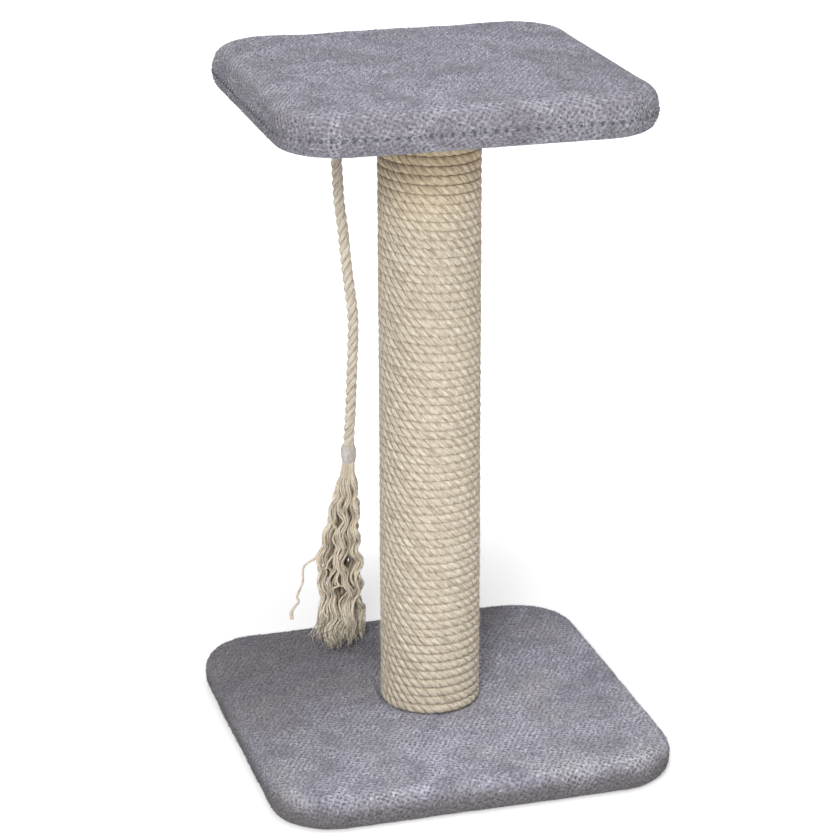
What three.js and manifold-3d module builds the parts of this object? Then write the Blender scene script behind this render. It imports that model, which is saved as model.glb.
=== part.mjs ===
// Cat scratching post: a plush-covered base, a post wound with sisal rope, a padded plush platform
// and a rope toy that swings under the platform.
// Millimetres, +Z up, origin at the middle of the base's underside.

import * as THREE from 'three';
import { mergeVertices } from 'three/addons/utils/BufferGeometryUtils.js';
import Module from 'manifold-3d';

// Clearances
const gap = 0.3; // between pieces that rest on each other
const boreGap = 0.6; // round a bolt, a stud or the rope in its hole

// Plush
const plush = 4; // backing and pile on the outside
const hemPlush = 3; // the same plush pressed flat under the base

// Base
const baseSide = 366;
const baseCorner = 57.5;
const baseEdge = 12; // rounding of the covered edge
const baseBoardThick = 25;
const hemWidth = 38; // how far the hem runs in under the base

// Post
const postLength = 549; // from the base's plush to the platform's plush
const tubeRadius = 35.5;
const tubeWall = 5;
const plugThick = 30;

// Sisal winding
const ropeDepth = 8.6; // the rope as it lies on the post, inwards
const turnPitch = 7.85; // nominal height of a turn
const turnGap = 0.62; // between one turn and the next
const ropeFlat = 0.72; // share of a turn's height that lies on the tube
const ropeWidest = 0.45; // share of the rope's depth at which it is highest
const lengths = 3; // the rope is wound on in three lengths
const stepsPerTurn = 12;
const levelTurns = 8; // turns over which the flat end turns become an even helix
const levelShare = 0.75; // share of an end turn that lies flat
const windStart = 75; // angle of the rope's ends, at the back of the post, in degrees

// Platform
const platformSide = 329;
const platformCorner = 58;
const platformBoardThick = 15;
const foamThick = 14;
const platformUnderEdge = 12; // rounding of the lower edge
const platformTopEdge = 14.5; // rounding of the upper edge
const crown = 3; // how much the padded top rises to its middle
const seamHeight = 16; // of the seam above the platform's underside
const seamDepth = 2; // how far the stitches draw the seam in
const seamSpread = 4.5; // height above and below the seam that is drawn in

// Screws and nuts
const boltRadius = 4;
const baseBoltLength = 58; // under the head
const boltHeadAcross = 13;
const boltHeadThick = 5.3;
const washerRadius = 12;
const washerThick = 1.6;
const counterboreDepth = 9;
const nutFlangeRadius = 11;
const nutFlangeThick = 1.5;
const nutBarrelRadius = 5.6;
const nutBarrelLength = 9;
const studInPlug = 26;
const studInNut = 13;

// Staples
const stapleCrown = 10;
const stapleWire = 1.2;
const stapleLeg = 9;
const hemStaplesPerSide = 3;
const hemStapleSpacing = 95;
const stapleInset = 24; // from the base's edge to the staples
const hemStapleRise = 1; // of the crowns above the floor
const ropeStapleSeat = 0.6; // of the crowns in the rope's depth, as a share of it
const ropeStapleSteps = 1.5; // from the rope's end to its staple, in steps of the winding

// Toy
const toyRopeRadius = 5;
const swingLimit = 45; // each way, in degrees
const hangPoint = [-55, 125]; // where the rope leaves the platform
const neckLength = 25; // the part of the rope that bends at the platform
const bendRadius = 4.7; // of the round ends about which the rope bends
const funnelDepth = 3; // of the hole's widening for the swinging rope
const knotRadius = 11.5;
const knotWaist = 9.4; // radius between the knot's two turns
const knotHeight = 16;
const knotPocketDepth = 9;
const collarLength = 16.5;
const collarRadius = 7.8;
const collarEndRadius = 6.1;
const collarSteps = 6;
const tasselLobes = 9;
const tasselGroove = 0.13; // depth of the grooves between bundles of yarn, as a share of the radius
// The middle of the toy's rope below its neck, from the hang point, top to bottom
const ropePoints = [
  [0, 0, -25], [1.4, -0.4, -45], [4.3, -1.3, -77], [6.1, -1.7, -112],
  [9.2, -2.6, -140], [11.5, -3.3, -168], [14.6, -4.2, -197], [17, -4.9, -225],
  [16.3, -4.7, -254], [15, -4.3, -283], [13.8, -4, -312], [11.8, -3.4, -345],
];
// Tassel: height below the collar, shift along the rope's bow, radius
const tasselSections = [
  [0, 9, 6.6], [9, 8.4, 7.6], [24, 7.4, 10.5], [39, 6, 13.8], [69, 2, 17.8],
  [96, -0.6, 22.6], [112, -0.6, 23.6], [128, 0.4, 22.6], [142, 0.8, 21.6],
  [155, 1.2, 25.2], [168, -0.8, 23.4], [178, -2.4, 16.5], [183, -3, 9],
];
const bowDirection = [0.96, -0.28]; // of the shifts above, in plan

// Facets
const cornerSteps = 5; // of a plan corner
const edgeSteps = 4; // of a rounded edge
const roundSides = 16; // of bolts, holes and plugs
const ropeSides = 10;

// Heights
const baseBoardBottom = hemPlush + gap;
const baseBoardTop = baseBoardBottom + baseBoardThick;
const baseTop = baseBoardTop + gap + plush;
const platformBottom = baseTop + postLength;
const boardBottom = platformBottom + plush + gap;
const boardTop = boardBottom + platformBoardThick;
const foamBottom = boardTop + gap;
const foamTop = foamBottom + foamThick;
const platformTop = foamTop + gap + plush;
const seamAt = platformBottom + seamHeight;
const tubeBottom = baseTop + gap;
const tubeTop = platformBottom - gap;

const wasm = await Module();
wasm.setup();

const material = (color, roughness, metalness = 0) =>
  new THREE.MeshStandardMaterial({ color, roughness, metalness });
const materials = {
  plush: material(0x85838a, 0.95),
  sisal: material(0xcdbfa4, 0.9),
  board: material(0xb8966a, 0.8),
  cardboard: material(0xa88a63, 0.9),
  foam: material(0xe6dfc8, 0.95),
  steel: material(0xb9bcc0, 0.35, 1),
  collar: material(0xc9c4ba, 0.4),
};

const part = new THREE.Group();

function addPiece(name, geometry, finish) {
  const mesh = new THREE.Mesh(geometry, finish);
  mesh.name = name;
  part.add(mesh);
  return mesh;
}

// A closed solid through rings of points, each ring anticlockwise as seen from the next one's side.
function loft(rings) {
  const count = rings[0].length;
  const middle = (ring) => [0, 1, 2].map((k) => ring.reduce((sum, point) => sum + point[k], 0) / count);
  const points = [...rings.flat(), middle(rings[0]), middle(rings.at(-1))];
  const first = rings.length * count;
  const faces = [];
  for (let j = 0; j < count; j++) {
    const next = (j + 1) % count;
    for (let i = 0; i + 1 < rings.length; i++) {
      const low = i * count;
      const high = low + count;
      faces.push(low + j, low + next, high + next, low + j, high + next, high + j);
    }
    faces.push(first, next, j);
    faces.push(first + 1, first - count + j, first - count + next);
  }
  const geometry = new THREE.BufferGeometry();
  geometry.setAttribute('position', new THREE.Float32BufferAttribute(points.flat(), 3));
  geometry.setIndex(faces);
  geometry.computeVertexNormals();
  return geometry;
}

function toSolid(geometry) {
  const bare = geometry.clone();
  bare.deleteAttribute('normal');
  bare.deleteAttribute('uv');
  const merged = mergeVertices(bare, 1e-4);
  return new wasm.Manifold(new wasm.Mesh({
    numProp: 3,
    vertProperties: new Float32Array(merged.attributes.position.array),
    triVerts: new Uint32Array(merged.index.array),
  }));
}

function toGeometry(solid) {
  const mesh = solid.getMesh();
  const geometry = new THREE.BufferGeometry();
  geometry.setAttribute('position', new THREE.BufferAttribute(new Float32Array(mesh.vertProperties), 3));
  geometry.setIndex(new THREE.BufferAttribute(new Uint32Array(mesh.triVerts), 1));
  geometry.computeVertexNormals();
  return geometry;
}

function cut(body, ...tools) {
  return toGeometry(tools.reduce((solid, tool) => solid.subtract(toSolid(tool)), toSolid(body)));
}

function join(body, ...more) {
  return toGeometry(more.reduce((solid, other) => solid.add(toSolid(other)), toSolid(body)));
}

// A ring of a square with round corners, set in from its outline, at one height.
function squareRing(side, corner, inset, height) {
  const radius = Math.max(corner - inset, 1);
  const reach = Math.max(side / 2 - inset - radius, 0.5);
  const ring = [];
  for (let quarter = 0; quarter < 4; quarter++) {
    const centreX = quarter === 0 || quarter === 3 ? reach : -reach;
    const centreY = quarter < 2 ? reach : -reach;
    for (let step = 0; step <= cornerSteps; step++) {
      const angle = (quarter + step / cornerSteps) * Math.PI / 2;
      ring.push([centreX + radius * Math.cos(angle), centreY + radius * Math.sin(angle), height]);
    }
  }
  return ring;
}

// Insets and heights along the rounding of an underside (side -1) or a top (side 1), from below upwards.
function roundedEdge(radius, height, side, shift = 0) {
  const stations = [];
  for (let step = 0; step <= edgeSteps; step++) {
    const share = side < 0 ? 1 - step / edgeSteps : step / edgeSteps;
    const angle = share * Math.PI / 2;
    stations.push([shift + radius * (1 - Math.cos(angle)), height + side * radius * (Math.sin(angle) - 1)]);
  }
  return stations;
}

const slab = (side, corner, stations) =>
  loft(stations.map(([inset, height]) => squareRing(side, corner, inset, height)));

// A vertical round bar between two heights.
function bar(radius, low, high, x = 0, y = 0, sides = roundSides) {
  const geometry = new THREE.CylinderGeometry(radius, radius, high - low, sides);
  geometry.rotateX(Math.PI / 2);
  geometry.translate(x, y, (low + high) / 2);
  return geometry;
}

// A solid turned about the vertical through x, y, from radii and heights that start and end on the axis.
function turned(profile, x = 0, y = 0, sides = roundSides) {
  const outline = profile.map(([radius, height]) => new THREE.Vector2(radius, height));
  const geometry = new THREE.LatheGeometry(outline, sides);
  geometry.rotateX(Math.PI / 2);
  geometry.translate(x, y, 0);
  return geometry;
}

// A staple with its crown along X and its legs up along Z, grown all round by `extra`.
function staple(extra = 0) {
  const half = stapleCrown / 2 + extra;
  const inner = stapleCrown / 2 - stapleWire - extra;
  const outline = new THREE.Shape([
    new THREE.Vector2(-half, -extra),
    new THREE.Vector2(half, -extra),
    new THREE.Vector2(half, stapleLeg + extra),
    new THREE.Vector2(inner, stapleLeg + extra),
    new THREE.Vector2(inner, stapleWire + extra),
    new THREE.Vector2(-inner, stapleWire + extra),
    new THREE.Vector2(-inner, stapleLeg + extra),
    new THREE.Vector2(-half, stapleLeg + extra),
  ]);
  const depth = stapleWire + 2 * extra;
  const geometry = new THREE.ExtrudeGeometry(outline, { depth, bevelEnabled: false });
  geometry.translate(0, 0, -depth / 2);
  geometry.rotateX(Math.PI / 2);
  return geometry;
}

// The slot that a staple leaves, open for `depth` behind its crown.
function stapleSlot(depth) {
  const wide = stapleCrown + 2 * gap;
  const high = stapleWire + 2 * gap;
  const way = new THREE.BoxGeometry(wide, high, depth + high);
  way.translate(0, 0, (high - depth) / 2 - gap);
  return join(staple(gap), way);
}

const boreRadius = boltRadius + boreGap;

// Staples under the base: three to a side, crowns sunk in the hem.
function hemStaplePlaces() {
  const places = [];
  for (let side = 0; side < 4; side++) {
    for (let i = 0; i < hemStaplesPerSide; i++) {
      const along = (i - (hemStaplesPerSide - 1) / 2) * hemStapleSpacing;
      const matrix = new THREE.Matrix4().makeRotationZ(side * Math.PI / 2);
      matrix.multiply(new THREE.Matrix4().makeTranslation(along, stapleInset - baseSide / 2, hemStapleRise));
      places.push(matrix);
    }
  }
  return places;
}

function makeBase() {
  const inset = plush + gap;
  const boardEdge = baseEdge - plush;
  const boardBody = slab(baseSide, baseCorner, [
    ...roundedEdge(boardEdge, baseBoardBottom, -1, inset),
    ...roundedEdge(boardEdge, baseBoardTop, 1, inset),
  ]);
  const coverBody = slab(baseSide, baseCorner, [
    ...roundedEdge(baseEdge, 0, -1),
    ...roundedEdge(baseEdge, baseTop, 1),
  ]);
  const coverInside = slab(baseSide, baseCorner, [
    ...roundedEdge(boardEdge, baseBoardBottom - gap, -1, plush),
    ...roundedEdge(boardEdge, baseTop - plush, 1, plush),
  ]);
  const hemOpening = slab(baseSide, baseCorner, [[hemWidth, -plush], [hemWidth, baseBoardBottom + plush]]);
  const places = hemStaplePlaces();
  const slots = places.map((place) => stapleSlot(hemPlush).applyMatrix4(place));
  const boltHole = bar(boreRadius, -plush, baseTop + plush);
  const counterbore = bar(washerRadius + boreGap, -plush, baseBoardBottom + counterboreDepth);
  addPiece('base_board', cut(boardBody, counterbore, boltHole, ...slots), materials.board);
  addPiece('base_cover', cut(coverBody, coverInside, hemOpening, boltHole, ...slots), materials.plush);
  places.forEach((place, i) => {
    const number = String(i + 1).padStart(2, '0');
    addPiece(`hem_staple_${number}`, staple().applyMatrix4(place), materials.steel);
  });

  const washerTop = baseBoardBottom + counterboreDepth - gap;
  const headTop = washerTop - washerThick - gap;
  const washer = cut(bar(washerRadius, washerTop - washerThick, washerTop), boltHole);
  addPiece('base_bolt_washer', washer, materials.steel);
  const head = bar(boltHeadAcross / Math.sqrt(3), headTop - boltHeadThick, headTop, 0, 0, 6);
  const shank = bar(boltRadius, headTop - boltHeadThick / 2, headTop + baseBoltLength);
  addPiece('base_bolt', join(head, shank), materials.steel);
}

// Height of the winding's middle, in turns above its start.
// The end turns lie flat and the rest climb evenly.
function climb(turns, total) {
  const whole = Math.min(Math.floor(turns), total - 1);
  const share = turns - whole;
  const flatStart = Math.max(0, (share - levelShare) / (1 - levelShare));
  const flatEnd = Math.min(1, share / (1 - levelShare));
  const evenLow = Math.min(1, whole / levelTurns);
  const evenHigh = Math.min(1, (total - 1 - whole) / levelTurns);
  return whole + share + (flatStart - share) * (1 - evenLow) + (flatEnd - share) * (1 - evenHigh);
}

const windingInner = (tubeRadius + gap) / Math.cos(Math.PI / stepsPerTurn);
const windingOuter = windingInner + ropeDepth;
const turnsPerLength = Math.round((postLength - turnPitch) / turnPitch / lengths);
const totalTurns = turnsPerLength * lengths;
const pitch = (postLength - 2 * gap + turnGap) / (totalTurns + 1);
const turnHeight = pitch - turnGap;

// One cross-section of the wound rope: flat on the tube, round outside. `turns` counts from the start.
function windingRing(turns) {
  // The rope climbs clockwise seen from above.
  const angle = windStart * Math.PI / 180 - turns * 2 * Math.PI;
  const height = baseTop + gap + turnHeight / 2 + pitch * climb(turns, totalTurns);
  const middle = windingInner + ropeDepth * ropeWidest;
  const outline = [
    [windingInner, turnHeight * ropeFlat / 2],
    [windingInner, -turnHeight * ropeFlat / 2],
    [middle, -turnHeight / 2],
    [windingOuter, 0],
    [middle, turnHeight / 2],
  ];
  const steps = turns * stepsPerTurn;
  const betweenSteps = Math.abs(steps - Math.round(steps)) > 0.1;
  const chord = betweenSteps ? Math.cos(Math.PI / stepsPerTurn) : 1;
  return outline.map(([radius, up]) =>
    [radius * chord * Math.cos(angle), radius * chord * Math.sin(angle), height + up]);
}

// Turn counts at which one length of the winding has a cross-section. The lengths butt in the middle of a
// straight step, square to the rope.
function windingStations(length) {
  const half = 0.5 / stepsPerTurn;
  const butt = gap / 2 / (2 * Math.PI * windingInner);
  const start = length === 0 ? 0 : length * turnsPerLength + half + butt;
  const end = length === lengths - 1 ? totalTurns : (length + 1) * turnsPerLength + half - butt;
  const stations = [start];
  for (let step = Math.floor(start * stepsPerTurn + 1e-6) + 1; step / stepsPerTurn < end - 1e-6; step++) {
    stations.push(step / stepsPerTurn);
  }
  stations.push(end);
  return stations;
}

// The least gap between one turn and the next, measured on the points of the cross-sections.
function leastTurnGap() {
  let least = Infinity;
  for (let step = 0; step + stepsPerTurn <= totalTurns * stepsPerTurn; step++) {
    const lower = windingRing(step / stepsPerTurn);
    const upper = windingRing(step / stepsPerTurn + 1);
    const top = Math.max(...lower.map((point) => point[2]));
    const bottom = Math.min(...upper.map((point) => point[2]));
    least = Math.min(least, bottom - top);
  }
  return least;
}

// The staple at the rope's end: crown along the rope and sunk in it, legs towards the post's axis.
function ropeStaplePlace(turns) {
  const [nearest] = windingRing(turns);
  const angle = Math.atan2(nearest[1], nearest[0]);
  const height = baseTop + gap + turnHeight / 2 + pitch * climb(turns, totalTurns);
  const matrix = new THREE.Matrix4().makeTranslation(0, 0, height);
  matrix.multiply(new THREE.Matrix4().makeRotationZ(angle));
  matrix.multiply(new THREE.Matrix4().makeTranslation(windingInner + ropeDepth * ropeStapleSeat, 0, 0));
  matrix.multiply(new THREE.Matrix4().makeRotationY(-Math.PI / 2));
  matrix.multiply(new THREE.Matrix4().makeRotationZ(Math.PI / 2));
  return matrix;
}

function makePost() {
  const stapleTurns = ropeStapleSteps / stepsPerTurn;
  const places = [ropeStaplePlace(stapleTurns), ropeStaplePlace(totalTurns - stapleTurns)];
  const slots = places.map((place) => stapleSlot(ropeDepth).applyMatrix4(place));

  const tubeInner = tubeRadius - tubeWall;
  const tubeSides = 2 * roundSides;
  const tube = bar(tubeRadius, tubeBottom, tubeTop, 0, 0, tubeSides);
  const bore = bar(tubeInner, tubeBottom - plush, tubeTop + plush, 0, 0, tubeSides);
  addPiece('post_tube', cut(tube, bore, ...slots), materials.cardboard);

  const plugRadius = (tubeInner - gap) * Math.cos(Math.PI / tubeSides);
  const lowerPlugTop = tubeBottom + plugThick;
  const upperPlugBottom = tubeTop - plugThick;
  const nutBore = bar(nutBarrelRadius + gap, lowerPlugTop - nutBarrelLength - gap, lowerPlugTop + plush);
  const lowerPlug = bar(plugRadius, tubeBottom, lowerPlugTop, 0, 0, tubeSides);
  addPiece('post_lower_plug', cut(lowerPlug, bar(boreRadius, 0, platformBottom), nutBore), materials.board);
  addPiece('post_nut', flangedNut(lowerPlugTop + gap, -1), materials.steel);

  const studBottom = tubeTop - studInPlug;
  const studHole = bar(boltRadius + gap, studBottom - gap, tubeTop + plush);
  const upperPlug = bar(plugRadius, upperPlugBottom, tubeTop, 0, 0, tubeSides);
  addPiece('post_upper_plug', cut(upperPlug, studHole), materials.board);
  addPiece('post_stud', bar(boltRadius, studBottom, boardBottom + studInNut), materials.steel);

  ['lower', 'middle', 'upper'].forEach((place, length) => {
    const rope = loft(windingStations(length).map(windingRing));
    const geometry = length === 1 ? rope : cut(rope, slots[length / 2]);
    addPiece(`sisal_winding_${place}`, geometry, materials.sisal);
  });
  addPiece('winding_start_staple', staple().applyMatrix4(places[0]), materials.steel);
  addPiece('winding_end_staple', staple().applyMatrix4(places[1]), materials.steel);
}

// A nut with a barrel and a flange; the flange lies at `seat`, the barrel runs from it along `side`.
function flangedNut(seat, side) {
  const flangeEnd = seat - side * nutFlangeThick;
  const barrelEnd = seat + side * nutBarrelLength;
  const flange = bar(nutFlangeRadius, Math.min(seat, flangeEnd), Math.max(seat, flangeEnd));
  const barrel = bar(nutBarrelRadius, Math.min(flangeEnd, barrelEnd), Math.max(flangeEnd, barrelEnd));
  const bore = bar(boltRadius + gap, seat - plugThick, seat + plugThick);
  return toGeometry(toSolid(flange).add(toSolid(barrel)).subtract(toSolid(bore)));
}

// The platform's outside from below: rounded lower edge, drawn-in seam, rounded upper edge, crowned top.
const lowerSide = [
  ...roundedEdge(platformUnderEdge, platformBottom, -1),
  [seamDepth, seamAt - gap / 2],
];
const crownRings = [0.45, 0.75, 0.92];

function upperSide(set) {
  const flat = platformTopEdge - set;
  const rise = (share) => crown * Math.sin(share * Math.PI / 2);
  const span = platformSide / 2 - platformTopEdge;
  const stations = roundedEdge(flat, platformTop - set, 1, set);
  crownRings.forEach((share) => {
    stations.push([platformTopEdge + span * share, platformTop - set + rise(share)]);
  });
  return stations;
}

function makePlatform() {
  const [x, y] = hangPoint;
  const inside = plush + gap;
  const under = platformUnderEdge - plush;
  const straightTop = platformTop - platformTopEdge;

  const boardBody = slab(platformSide, platformCorner, [
    ...roundedEdge(under, boardBottom, -1, inside),
    [inside, boardTop],
  ]);
  const ropeHole = bar(toyRopeRadius + boreGap, platformBottom - plush, boardTop + plush, x, y);
  const knotPocket = bar(knotRadius + boreGap, boardTop - knotPocketDepth, foamTop + plush, x, y);
  const nutSeat = boardTop - nutFlangeThick - gap;
  const nutRecess = bar(nutFlangeRadius + gap, nutSeat - gap, boardTop + plush);
  const nutHole = bar(nutBarrelRadius + gap, boardBottom - plush, boardTop + plush);
  addPiece('platform_board', cut(boardBody, ropeHole, knotPocket, nutRecess, nutHole), materials.board);
  addPiece('platform_nut', flangedNut(nutSeat, -1), materials.steel);

  const foamBody = slab(platformSide, platformCorner, [[inside, foamBottom], ...upperSide(inside)]);
  const knotTop = boardTop - knotPocketDepth + gap + knotHeight;
  const knotRecess = bar(knotRadius + boreGap, foamBottom - plush, knotTop + gap, x, y);
  addPiece('platform_pad', cut(foamBody, knotRecess), materials.foam);

  const topBody = slab(platformSide, platformCorner, [
    [seamDepth, seamAt + gap / 2],
    [0, seamAt + seamSpread],
    [0, straightTop],
    ...upperSide(0).slice(1),
  ]);
  const topInside = slab(platformSide, platformCorner, [[plush, seamAt - plush], ...upperSide(plush)]);
  addPiece('platform_cover_top', cut(topBody, topInside), materials.plush);

  const lowerBody = slab(platformSide, platformCorner, lowerSide);
  const lowerInside = slab(platformSide, platformCorner, [
    ...roundedEdge(under, platformBottom + plush, -1, plush),
    [plush, seamAt + plush],
  ]);
  const widest = toyRopeRadius / Math.cos(swingLimit * Math.PI / 180) + boreGap;
  const funnel = turned([
    [0, platformBottom - gap], [widest, platformBottom - gap], [widest, platformBottom],
    [toyRopeRadius + boreGap, platformBottom + funnelDepth],
    [toyRopeRadius + boreGap, boardBottom + gap], [0, boardBottom + gap],
  ], x, y);
  const studHole = bar(boreRadius, platformBottom - plush, boardBottom + plush);
  addPiece('platform_cover_under', cut(lowerBody, lowerInside, funnel, studHole), materials.plush);
}

// A curve through points as a tube with flat ends.
function tube(points, radius, steps) {
  const section = new THREE.Shape();
  section.absarc(0, 0, radius, 0, 2 * Math.PI);
  const path = new THREE.CatmullRomCurve3(points.map(([px, py, pz]) => new THREE.Vector3(px, py, pz)));
  return new THREE.ExtrudeGeometry(section, { steps, extrudePath: path, curveSegments: ropeSides / 2 });
}

function makeToy() {
  const [x, y] = hangPoint;
  const clear = toyRopeRadius + gap;

  // The knot lies in its pocket, and the rope runs down from it in its hole to just above the bend.
  const knotBottom = boardTop - knotPocketDepth + gap;
  addPiece('toy_knot', turned([
    [0, platformBottom + clear], [toyRopeRadius, platformBottom + clear], [toyRopeRadius, knotBottom],
    [knotWaist, knotBottom], [knotRadius, knotBottom + knotHeight * 0.25],
    [knotWaist, knotBottom + knotHeight * 0.5], [knotRadius, knotBottom + knotHeight * 0.75],
    [toyRopeRadius, knotBottom + knotHeight], [0, knotBottom + knotHeight],
  ], x, y), materials.sisal);

  // The round end about which a length of the rope bends, its top one rope radius above the bend.
  const roundTop = (height) => {
    const ball = new THREE.SphereGeometry(bendRadius, ropeSides, ropeSides / 2);
    ball.rotateX(Math.PI / 2);
    return ball.translate(x, y, height + toyRopeRadius - bendRadius);
  };
  const bend = platformBottom - neckLength;
  const neckBar = bar(toyRopeRadius, bend + clear, platformBottom, x, y, ropeSides);
  addPiece('toy_rope_neck', join(neckBar, roundTop(platformBottom)), materials.sisal);

  const route = ropePoints.map(([dx, dy, dz]) => [x + dx, y + dy, platformBottom + dz]);
  const rope = tube(route, toyRopeRadius, 2 * (route.length - 1));
  addPiece('toy_rope', join(rope, roundTop(bend)), materials.sisal);

  const [endX, endY, endZ] = route.at(-1);
  const collarTop = endZ - gap;
  const collarBottom = collarTop - collarLength;
  const collarProfile = [[0, collarBottom]];
  for (let step = 0; step <= collarSteps; step++) {
    const share = step / collarSteps;
    const swell = (collarRadius - collarEndRadius) * Math.sin(Math.PI * share);
    collarProfile.push([collarEndRadius + swell, collarBottom + collarLength * share]);
  }
  collarProfile.push([0, collarTop]);
  addPiece('toy_collar', turned(collarProfile, endX, endY), materials.collar);

  const tasselTop = collarBottom - gap;
  const [bowX, bowY] = bowDirection;
  const startShift = tasselSections[0][1];
  const rings = tasselSections.map(([down, shift, radius]) => {
    const ring = [];
    for (let i = 0; i < 2 * tasselLobes; i++) {
      const angle = -i * Math.PI / tasselLobes;
      const reach = radius * (i % 2 ? 1 - tasselGroove : 1);
      const along = shift - startShift;
      const px = endX + along * bowX + reach * Math.cos(angle);
      const py = endY + along * bowY + reach * Math.sin(angle);
      ring.push([px, py, tasselTop - down]);
    }
    return ring;
  });
  addPiece('toy_tassel', loft(rings), materials.sisal);
}

makeBase();
makePost();
makePlatform();
makeToy();

console.log(`turns ${totalTurns}, pitch ${pitch.toFixed(3)} mm, least gap ${leastTurnGap().toFixed(3)} mm`);

export default part;
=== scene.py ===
import math

import bpy
import numpy as np
from mathutils import Matrix, Vector, noise
from mathutils.kdtree import KDTree


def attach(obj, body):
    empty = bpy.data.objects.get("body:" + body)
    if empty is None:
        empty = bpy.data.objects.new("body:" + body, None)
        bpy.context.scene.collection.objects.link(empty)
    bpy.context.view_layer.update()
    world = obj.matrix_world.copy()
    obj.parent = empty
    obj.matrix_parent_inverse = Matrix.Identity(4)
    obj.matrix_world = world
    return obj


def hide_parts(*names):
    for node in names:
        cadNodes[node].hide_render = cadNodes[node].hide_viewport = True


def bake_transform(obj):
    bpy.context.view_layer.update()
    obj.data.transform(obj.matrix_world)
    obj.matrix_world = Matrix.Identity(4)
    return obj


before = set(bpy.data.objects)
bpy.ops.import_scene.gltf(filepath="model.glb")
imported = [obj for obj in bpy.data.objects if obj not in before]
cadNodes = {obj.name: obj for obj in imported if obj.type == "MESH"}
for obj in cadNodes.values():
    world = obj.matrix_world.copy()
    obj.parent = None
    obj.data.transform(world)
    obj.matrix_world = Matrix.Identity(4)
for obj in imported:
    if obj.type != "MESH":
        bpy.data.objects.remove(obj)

# Cat scratching post: plush base and platform, post wound with sisal, rope toy with a tassel.
# Metres, +Z up, origin at the middle of the base's underside.

scene = bpy.context.scene
scene.view_settings.view_transform = "Standard"
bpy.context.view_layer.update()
print("frame loaded")

cameraView = {
    "azimuth": -16.2,
    "elevation": 19.71,
    "roll": -0.08,
    "distance": 2.4732,
    "aim": (0.0, 0.0, 0.3),
    "lens": 119.82,
    "shift": (-0.01158, -0.00243),
}


def addObject(name, data):
    thing = bpy.data.objects.new(name, data)
    scene.collection.objects.link(thing)
    return thing


def makeCamera(view):
    az, el, roll = (math.radians(view[key]) for key in ("azimuth", "elevation", "roll"))
    back = Vector((math.sin(az) * math.cos(el), -math.cos(az) * math.cos(el), math.sin(el)))
    right = Vector((math.cos(az), math.sin(az), 0))
    up = back.cross(right)
    side = right * math.cos(roll) + up * math.sin(roll)
    top = up * math.cos(roll) - right * math.sin(roll)
    data = bpy.data.cameras.new("photoCamera")
    data.lens = view["lens"]
    data.sensor_width = 36
    data.shift_x, data.shift_y = view["shift"]
    data.clip_end = 60
    camera = addObject("photoCamera", data)
    turn = Matrix((side, top, back)).transposed().to_4x4()
    camera.matrix_world = Matrix.Translation(Vector(view["aim"]) + back * view["distance"]) @ turn
    scene.camera = camera


makeCamera(cameraView)
print("camera placed")


# Small helpers for node trees and meshes

def addNode(tree, kind, inputs=None, **settings):
    node = tree.nodes.new(kind)
    for key, value in settings.items():
        setattr(node, key, value)
    for key, value in (inputs or {}).items():
        socket = node.inputs[key]
        if isinstance(value, bpy.types.NodeSocket):
            tree.links.new(value, socket)
        else:
            socket.default_value = value
    return node


def maths(tree, operation, *values):
    return addNode(tree, "ShaderNodeMath", dict(enumerate(values)), operation=operation).outputs[0]


def vectors(tree, operation, *values):
    node = addNode(tree, "ShaderNodeVectorMath", dict(enumerate(values)), operation=operation)
    return node.outputs[0]


def joined(tree, x, y, z):
    return addNode(tree, "ShaderNodeCombineXYZ", {0: x, 1: y, 2: z}).outputs[0]


def parted(tree, vector):
    return addNode(tree, "ShaderNodeSeparateXYZ", {0: vector}).outputs


def ranged(tree, value, low, high, outLow=0.0, outHigh=1.0, kind="SMOOTHSTEP"):
    inputs = {0: value, 1: low, 2: high, 3: outLow, 4: outHigh}
    return addNode(tree, "ShaderNodeMapRange", inputs, interpolation_type=kind).outputs[0]


def geometryTree(name, sockets):
    tree = bpy.data.node_groups.new(name, "GeometryNodeTree")
    tree.interface.new_socket("Geometry", in_out="INPUT", socket_type="NodeSocketGeometry")
    for label, kind in sockets:
        tree.interface.new_socket(label, in_out="INPUT", socket_type="NodeSocket" + kind)
    tree.interface.new_socket("Geometry", in_out="OUTPUT", socket_type="NodeSocketGeometry")
    start = tree.nodes.new("NodeGroupInput")
    return tree, {socket.name: socket for socket in start.outputs if socket.name}


def endTree(tree, geometry, finish):
    whole = addNode(tree, "GeometryNodeRealizeInstances", {"Geometry": geometry})
    painted = addNode(tree, "GeometryNodeSetMaterial",
                      {"Geometry": whole.outputs[0], "Material": finish})
    end = tree.nodes.new("NodeGroupOutput")
    tree.links.new(painted.outputs[0], end.inputs[0])


def useTree(piece, tree, values):
    modifier = piece.modifiers.new(tree.name, "NODES")
    modifier.node_group = tree
    for item in tree.interface.items_tree:
        if item.item_type == "SOCKET" and item.in_out == "INPUT" and item.name in values:
            modifier[item.identifier] = values[item.name]


def settle(piece, drop=()):
    # the modifiers' result becomes the piece's own mesh
    graph = bpy.context.evaluated_depsgraph_get()
    mesh = bpy.data.meshes.new_from_object(piece.evaluated_get(graph), depsgraph=graph)
    old = piece.data
    piece.modifiers.clear()
    piece.data = mesh
    bpy.data.meshes.remove(old)
    for name in drop:
        if name in mesh.attributes:
            mesh.attributes.remove(mesh.attributes[name])
    mesh.shade_smooth()
    return piece


def meshPiece(name, points, faces, edges=()):
    mesh = bpy.data.meshes.new(name)
    mesh.from_pydata(np.asarray(points, float).tolist(), list(edges), faces)
    mesh.update()
    mesh.shade_smooth()
    return addObject(name, mesh)


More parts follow.
